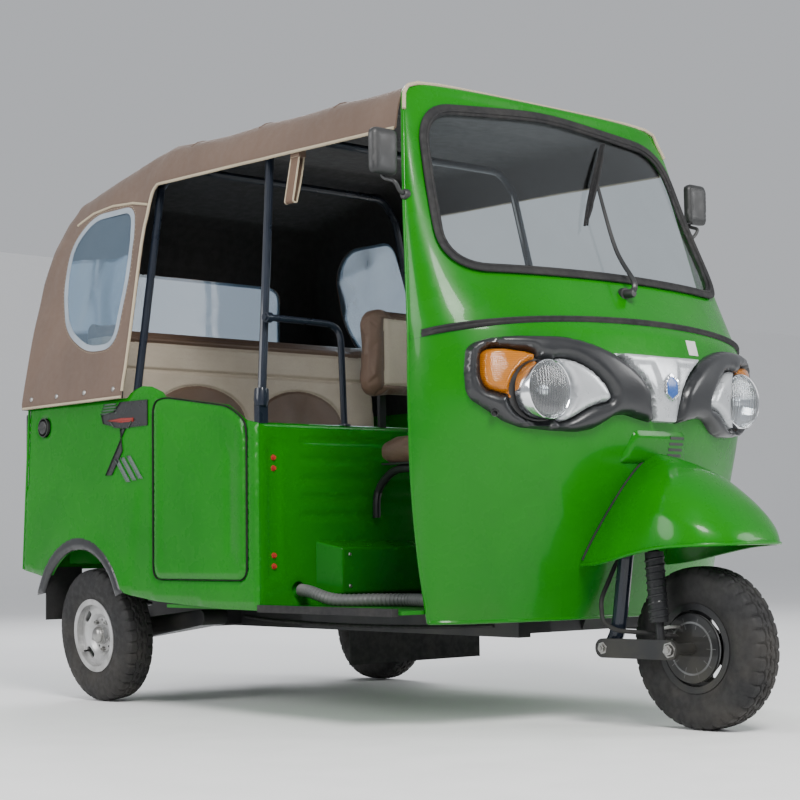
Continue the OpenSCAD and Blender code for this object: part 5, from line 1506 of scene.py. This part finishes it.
def cushion(name, build, mats, nodes, cap, voxel=0.006, shift=None):
    """Padded piece: closed form, inflated as cloth, its travel capped, subdivided once."""
    verts, faces = build
    me = bpy.data.meshes.new(name)
    me.from_pydata([tuple(v) for v in verts], [], faces)
    bm = bmesh.new()
    bm.from_mesh(me)
    bmesh.ops.remove_doubles(bm, verts=bm.verts, dist=1e-5)
    bmesh.ops.recalc_face_normals(bm, faces=bm.faces)
    bm.to_mesh(me)
    bm.free()
    o = bpy.data.objects.new(name, me)
    bpy.context.scene.collection.objects.link(o)
    modify(o, "REMESH", mode="VOXEL", voxel_size=voxel * 1)
    apply(o)
    rest = np.array([v.co for v in o.data.vertices])
    m = o.modifiers.new("cloth", "CLOTH")
    m.settings.use_pressure = True
    m.settings.uniform_pressure_force = 4.0
    m.settings.effector_weights.gravity = 0
    m.settings.tension_stiffness = 14
    m.settings.quality = 4
    scene = bpy.context.scene
    for k in range(1, 21):
        scene.frame_set(k)
    deps = bpy.context.evaluated_depsgraph_get()
    got = o.evaluated_get(deps)
    moved = np.array([v.co for v in got.data.vertices])
    o.modifiers.clear()
    scene.frame_set(1)
    d = moved - rest
    length = np.linalg.norm(d, axis=1)
    d *= (np.minimum(length, cap) / np.maximum(length, 1e-9))[:, None]
    new = rest + d
    if shift is not None:
        new = shift(new)
    o.data.vertices.foreach_set("co", new.astype(np.float32).ravel())
    modify(o, "SUBSURF", levels=1, render_levels=1)
    apply(o)
    me = o.data
    me.materials.clear()
    for k in mats:
        me.materials.append(M[k])
    me.shade_smooth()
    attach(o, "vehicle")
    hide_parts(*nodes)
    return o


def prism(outline, x0, x1, axis="x", steps=1):
    """Outline (y, z) swept along x, or (x, z) swept along y, as a closed form."""
    n = len(outline)
    verts, faces = [], []
    for k in range(steps + 1):
        x = x0 + (x1 - x0) * k / steps
        verts += [(x, a * MM, b * MM) if axis == "x" else (a * MM, x, b * MM) for a, b in outline]
    for i in range(steps):
        for k in range(n):
            faces.append((i * n + k, i * n + (k + 1) % n, (i + 1) * n + (k + 1) % n, (i + 1) * n + k))
    faces += [tuple(range(n)), tuple(steps * n + k for k in range(n))]
    return verts, faces


def paint_faces(o, test):
    for p in o.data.polygons:
        p.material_index = test(p.center, p.normal)


def seats():
    bench = cushion("passenger_seat_pad",
                    prism(round_poly([(422, 562), (826, 562), (826, 640), (434, 648)], 26, 5), -0.578, 0.578),
                    ("brown", "cream"), ("passenger_cushion",), 0.020)

    def hold_bench(v):
        v[:, 2] = np.clip(v[:, 2], 0.5568, 0.690)
        v[:, 1] = np.clip(v[:, 1], 0.405, 0.8298)
        v[:, 0] = np.clip(v[:, 0], -0.6, 0.6)
        return v
    co = hold_bench(np.array([v.co for v in bench.data.vertices]))
    for line in (-0.195, 0.195):
        co[:, 2] -= np.where(co[:, 2] > 0.62, 0.0075 * np.exp(-((co[:, 0] - line) / 0.0065) ** 2), 0)
    bench.data.vertices.foreach_set("co", co.astype(np.float32).ravel())
    paint_faces(bench, lambda c, n: 1 if c.z > 0.6 and abs(c.x) > 0.55 else 0)
    back = cushion("passenger_back_pad",
                   prism(round_poly([(846, 580), (922, 580), (946, 1205), (902, 1210), (850, 700)], 24, 5), -0.578,
                         0.578),
                   ("cream", "brown"), ("passenger_backrest",), 0.018)
    co = np.array([v.co for v in back.data.vertices])
    front = np.interp(co[:, 2], [0.556, 1.225], [0.8312, 0.893])
    co[:, 1] = np.maximum(co[:, 1], np.minimum(front, 0.900) - 0.010 * (co[:, 2] > 0.70))
    co[:, 1] = np.minimum(co[:, 1], 0.962)
    co[:, 0] = np.clip(co[:, 0], -0.6, 0.6)
    co[:, 2] = np.clip(co[:, 2], 0.558, 1.235)
    face = co[:, 1] < np.interp(co[:, 2], [0.556, 1.225], [0.866, 0.915])
    for line in (1.150, 1.060):
        co[:, 1] += np.where(face, 0.008 * np.exp(-((co[:, 2] - line) / 0.006) ** 2), 0)
    for sx in (-0.21, 0.21):
        r = np.hypot((co[:, 0] - sx) / 1.0, (co[:, 2] - 0.90) / 0.62)
        co[:, 1] += np.where(face & (co[:, 2] < 1.05), 0.006 * np.exp(-((r - 0.185) / 0.007) ** 2), 0)
    back.data.vertices.foreach_set("co", co.astype(np.float32).ravel())

    def back_paint(c, n):
        if c.z > 1.150 or n.y > 0.4:
            return 1
        if c.z > 1.060:
            return 0
        for sx in (-0.21, 0.21):
            if math.hypot(c.x - sx, (c.z - 0.90) / 0.62) < 0.185:
                return 1
        return 0
    paint_faces(back, back_paint)
    seat = cushion("driver_seat_pad",
                   prism(round_poly([(-250, 726), (250, 726), (246, 778), (-246, 778)], 24, 5), -0.418, -0.088, "y"),
                   ("brown", "cream"), ("driver_cushion",), 0.018)
    co = np.array([v.co for v in seat.data.vertices])
    co[:, 2] = np.clip(co[:, 2], 0.7188, 0.815)
    co[:, 1] = np.clip(co[:, 1], -0.440, -0.0705)
    for line in (-0.125, 0.125):
        co[:, 2] -= np.where(co[:, 2] > 0.77, 0.005 * np.exp(-((co[:, 0] - line) / 0.006) ** 2), 0)
    seat.data.vertices.foreach_set("co", co.astype(np.float32).ravel())
    rest = cushion("driver_back_pad",
                   prism(round_poly([(-292, 908), (292, 908), (284, 1182), (-284, 1182)], 66, 8), -0.088, -0.046,
                         "y"),
                   ("brown", "cream"), ("driver_backrest",), 0.016)
    co = np.array([v.co for v in rest.data.vertices])
    co[:, 1] = np.clip(co[:, 1], -0.112, -0.0385)
    inner = np.maximum(np.abs(co[:, 0]) / 0.225, np.abs(co[:, 2] - 1.045) / 0.098)
    patch_ = np.maximum(np.abs(co[:, 0]) / 0.112, np.abs(co[:, 2] - 1.02) / 0.075)
    for q in (inner, patch_):
        co[:, 1] += np.where(co[:, 1] < -0.07, 0.006 * np.exp(-((q - 1) / 0.045) ** 2), 0)
    rest.data.vertices.foreach_set("co", co.astype(np.float32).ravel())

    def rest_paint(c, n):
        if n.y > 0.3:
            return 0
        a = max(abs(c.x) / 0.225, abs(c.z - 1.045) / 0.098)
        b = max(abs(c.x) / 0.112, abs(c.z - 1.02) / 0.075)
        return 1 if a < 1 and b > 1 else 0
    paint_faces(rest, rest_paint)


def strap():
    """Hanging loop of vinyl webbing with cream edges and a stitched block."""
    y0 = -0.068
    top, low = 1.622, 1.462

    def x(z):
        return -(canopy_half(z * 1000) - 21) * MM

    path = []
    for k in range(15):
        z = top - (top - low) * k / 14
        path.append(Vector((x(z) - 0.0035, y0, z)))
    for a in range(0, 181, 20):
        q = math.radians(a)
        path.append(Vector((x(low) + 0.0035 - 0.0075 * math.cos(q), y0, low - 0.0075 * math.sin(q))))
    for k in range(15):
        z = low + (top - low) * k / 14
        path.append(Vector((x(z) + 0.0105 + 0.004 * math.sin(math.pi * k / 14), y0, z)))
    def ribbon(w, t, shift=0.0):
        verts, faces = [], []
        for i, p in enumerate(path):
            a, b = path[max(0, i - 1)], path[min(len(path) - 1, i + 1)]
            n = Vector((0, 1, 0)).cross((b - a).normalized())
            for dy, dn in ((-w, -t), (w, -t), (w, t), (-w, t)):
                verts.append(p + Vector((0, dy + shift, 0)) + n * dn)
        for i in range(len(path) - 1):
            for k in range(4):
                faces.append((i * 4 + k, i * 4 + (k + 1) % 4, (i + 1) * 4 + (k + 1) % 4, (i + 1) * 4 + k))
        faces += [(0, 1, 2, 3), tuple(4 * (len(path) - 1) + k for k in range(4))]
        return verts, faces
    o = piece("hand_strap", *ribbon(0.0195, 0.0012), "strap", slot="brown_vinyl", replaces=("grab_strap",), sharp=50)
    edges = [ribbon(0.0022, 0.0017, d) for d in (-0.0185, 0.0185)]
    piece("hand_strap_edges", *join(edges), "piping", slot="cream_vinyl", sharp=50)
    z = 1.600
    piece("hand_strap_block", *block((x(z) - 0.009, y0 - 0.021, z - 0.014), (x(z) + 0.018, y0 + 0.021, z + 0.014),
                                     0.003), "strap", slot="brown_vinyl")
    stitches = []
    for k in range(9):
        for dz in (-0.010, 0.010):
            y = y0 - 0.016 + 0.004 * k
            stitches.append(block((x(z) - 0.0098, y - 0.0012, z + dz - 0.0005),
                                  (x(z) - 0.0088, y + 0.0012, z + dz + 0.0005)))
    piece("hand_strap_stitches", *join(stitches), "piping", slot="cream_vinyl")


# ---------------------------------------------------------------- smaller parts and carried-over nodes

def small_parts():
    # floor: ribbed rubber mats, front and rear
    ribs = []
    for k in range(26):
        y = -0.585 + 0.0206 * k
        ribs.append(block((-0.36, y, 0.3128), (0.56, y + 0.011, 0.3162), 0.0012))
    piece("floor_mat", *join(ribs), "rubber", slot="black_rubber")
    ribs = []
    for k in range(18):
        y = 0.005 + 0.0228 * k
        ribs.append(block((-0.60, y, 0.3128), (0.60, y + 0.012, 0.3160), 0.0012))
    piece("rear_floor_mat", *join(ribs), "rubber", slot="black_rubber")
    # corrugated sleeve on the conduit
    pts = smooth_path([(-0.500, -0.045, 0.3565), (-0.500, -0.088, 0.352), (-0.490, -0.188, 0.3313),
                       (-0.440, -0.298, 0.3313), (-0.400, -0.398, 0.3313),
                       (-0.420, -0.508, 0.3313), (-0.430, -0.590, 0.3313)], 34)
    radii = [0.0178 if k % 4 < 2 else 0.0162 for k in range(len(pts))]
    piece("floor_conduit_sleeve", *sweep(pts, 0.018, 18, radii=radii), "conduit", slot="grey_conduit",
          replaces=("floor_conduit",), sharp=25)
    # flanges of the grab rails and clamps of the hoop posts
    parts = []
    for s in (-1, 1):
        parts.append(lathe([(0.010, 0.004), (0.018, 0.003), (0.0195, 0.0), (0.0195, -0.002)],
                           (s * 0.319, -0.026, 0.830), (0, 0, 1), 20))
        parts.append(lathe([(0.010, 0.006), (0.0145, 0.005), (0.0150, -0.012), (0.010, -0.014)],
                           (s * 0.598, -0.026, 1.1275), (s, 0, 0.02), 18))
        parts.append(lathe([(0.0125, 0.0), (0.0205, -0.003), (0.022, -0.034), (0.0165, -0.052), (0.0125, -0.054)],
                           (s * 0.617, -0.023, 0.925), (-s * 0.13, 0.13, 1), 20))
    piece("rail_fittings", *join(parts), "tube", slot="dark_tube")
    # tail lamps with amber, red and clear fields in a black housing
    for s, word in ((-1, "right"), (1, "left")):
        x0, x1 = s * 0.540, s * 0.630
        lo, hi = min(x0, x1), max(x0, x1)
        y = 1.2420
        piece("tail_housing_" + word, *block((lo, y, 0.770), (hi, 1.278, 0.930), 0.008), "black_plastic",
              slot="black_plastic", replaces=("tail_lamps",))
        for word2, z0, z1, mat in (("top", 0.878, 0.922, "amber"), ("middle", 0.826, 0.874, "red"),
                                   ("low", 0.778, 0.822, "lamp")):
            line = round_poly([(lo / MM + 7, z0 / MM), (hi / MM - 7, z0 / MM), (hi / MM - 7, z1 / MM),
                               (lo / MM + 7, z1 / MM)], 9, 4)
            v, f = patch(line, [], 6, lambda a, b, h: Vector((a * MM, 1.276 + h, b * MM)), rounded(0.019, 16))
            v, f = skirt(v, f, lambda p: Vector((p[0], 1.272, p[2])))
            piece("tail_lens_%s_%s" % (word2, word), v, f, mat, slot="red_lens")
    # blank number plate
    line = round_poly([(-128, 354), (128, 354), (128, 410), (-128, 410)], 8, 4)
    v, f = patch(line, [circle(-80, 402, 4.2, 16), circle(80, 402, 4.2, 16)], 12, lambda a, b,
                 h: Vector((a * MM, 1.2922 + h, b * MM)), rounded(0.0014, 3))
    piece("blank_plate", v, f, "white", slot="silver_plastic")
    # hatch louvres and latch
    parts = []
    for k in range(7):
        z = 0.500 + 0.030 * k
        y = 1.262 - 0.036 * (z - 0.411) / 0.545
        parts.append(sweep([(-0.20, y - 0.001, z), (-0.195, y + 0.005, z), (0.195, y + 0.005, z),
                            (0.20, y - 0.001, z)], 0.0055, 8, flat=0.7))
    piece("hatch_louvres", *join(parts), "green", "hatch", "green_paint", sharp=30)
    y = 1.262 - 0.036 * (0.475 - 0.411) / 0.545
    parts = [block((-0.030, y - 0.002, 0.464), (0.030, y + 0.007, 0.482), 0.003),
             lathe([(0, 0.012), (0.007, 0.011), (0.008, 0.006)], (0, y, 0.473), (0, 1, 0), 16)]
    piece("hatch_latch", *join(parts), "black_plastic", "hatch", "black_plastic")
    # handlebar grips with rings
    for s, word in ((-1, "right"), (1, "left")):
        y, z = -1.109 + 1.010 * math.tan(math.radians(22.2)) + 0.040, 1.020
        prof = [(0.0125, -0.105), (0.0165, -0.104)]
        for k in range(16):
            prof += [(0.0172, -0.100 + 0.006 * k), (0.0158, -0.097 + 0.006 * k)]
        prof += [(0.0195, -0.002), (0.0195, 0.001), (0.0, 0.0015)]
        piece("handle_grip_" + word, *lathe(prof, (s * 0.300, y, z), (s, 0, 0), 24), "rubber", "steering",
              "black_rubber", sharp=25)
    # dials above the dashboard edge without any marking
    for k, x in enumerate((-0.10, 0.02, 0.12)):
        v, f = lathe([(0.0, 0.004), (0.030, 0.004), (0.033, 0.009), (0.037, 0.009), (0.039, 0.0), (0.039, -0.004)],
                     (x, -0.694, 1.1165), (0, 1, 0.0), 32)
        v = [(p[0], p[1], 1.1165 + (p[2] - 1.1165) * 0.42) for p in v]
        piece("dash_dial_%d" % k, v, f, "gloss_black", slot="black_plastic")


CARRIED = {
    "chassis": "black_paint", "dashboard": "black_plastic", "floor_pan": "green_inner", "sill_rubbers": "rubber",
    "driver_seat_frame": "black_paint",
    "tub_rear": "green", "seat_box": "green_inner", "mudflaps": "rubber", "rear_bumper": "black_paint",
    "canopy_frame": "tube",
    "engine_block": "alloy", "rear_suspension": "black_paint", "engine_hatch": "green", "steering_column": "tube",
    "front_suspension": "black_paint", "brake_hose": "rubber", "front_rim": "black_paint", "rear_rim_right": "rim",
    "rear_rim_left": "rim",
}


def carried():
    for name, mat in CARRIED.items():
        o = NODES[name]
        for k in range(len(o.data.materials)):
            o.data.materials[k] = M[mat]
        if not len(o.data.materials):
            o.data.materials.append(M[mat])
        if name in ("seat_box", "sill_rubbers", "mudflaps", "engine_block", "driver_seat_frame", "chassis",
                    "rear_bumper", "tub_rear", "engine_hatch",
                    "dashboard", "front_rim", "rear_rim_right", "rear_rim_left"):
            modify(o, "BEVEL", width=0.0025 if name not in ("engine_block",) else 0.010, segments=2,
                   limit_method="ANGLE",
                   angle_limit=math.radians(40), use_clamp_overlap=True)


def studio_floor():
    s = Shade("studio_floor", Specular_IOR_Level=0.3)
    s.colour(s.mix(s.span(s.noise(0.8, 3), 0.3, 0.7), (0.94, 0.94, 0.94), (0.925, 0.925, 0.93)))
    s.roughness(s.noise(6, 3), 0.55, 0.7)
    me = bpy.data.meshes.new("studio_floor")
    # level up to y = 11.2, then a quarter circle up the back
    flat_rows, curved_rows, across, bend = 28, 12, 33, 4
    verts = []
    for k in range(flat_rows + curved_rows + 1):
        a = max(0.0, (k - flat_rows) / curved_rows) * math.pi / 2
        y = -14 + k * 0.9 if k <= flat_rows else 11.2 + bend * math.sin(a)
        z = 0.0 if k <= flat_rows else bend * (1 - math.cos(a))
        verts += [(x, y, z) for x in range(-32, 33, 2)]
    me.from_pydata(verts, [], [(i * across + k, i * across + k + 1, (i + 1) * across + k + 1, (i + 1) * across + k)
                               for i in range(flat_rows + curved_rows) for k in range(across - 1)])
    me.materials.append(s.mat)
    me.shade_smooth()
    o = bpy.data.objects.new("studio_floor", me)
    bpy.context.scene.collection.objects.link(o)


cowl_skin()
windscreen()
waist()
lamp_masks()
garnish()
mudguard()
wiper()
mirrors()
canopy()
tub_sides()
bulkhead()
wheels()
running_gear()
seats()
strap()
small_parts()
carried()
studio_floor()
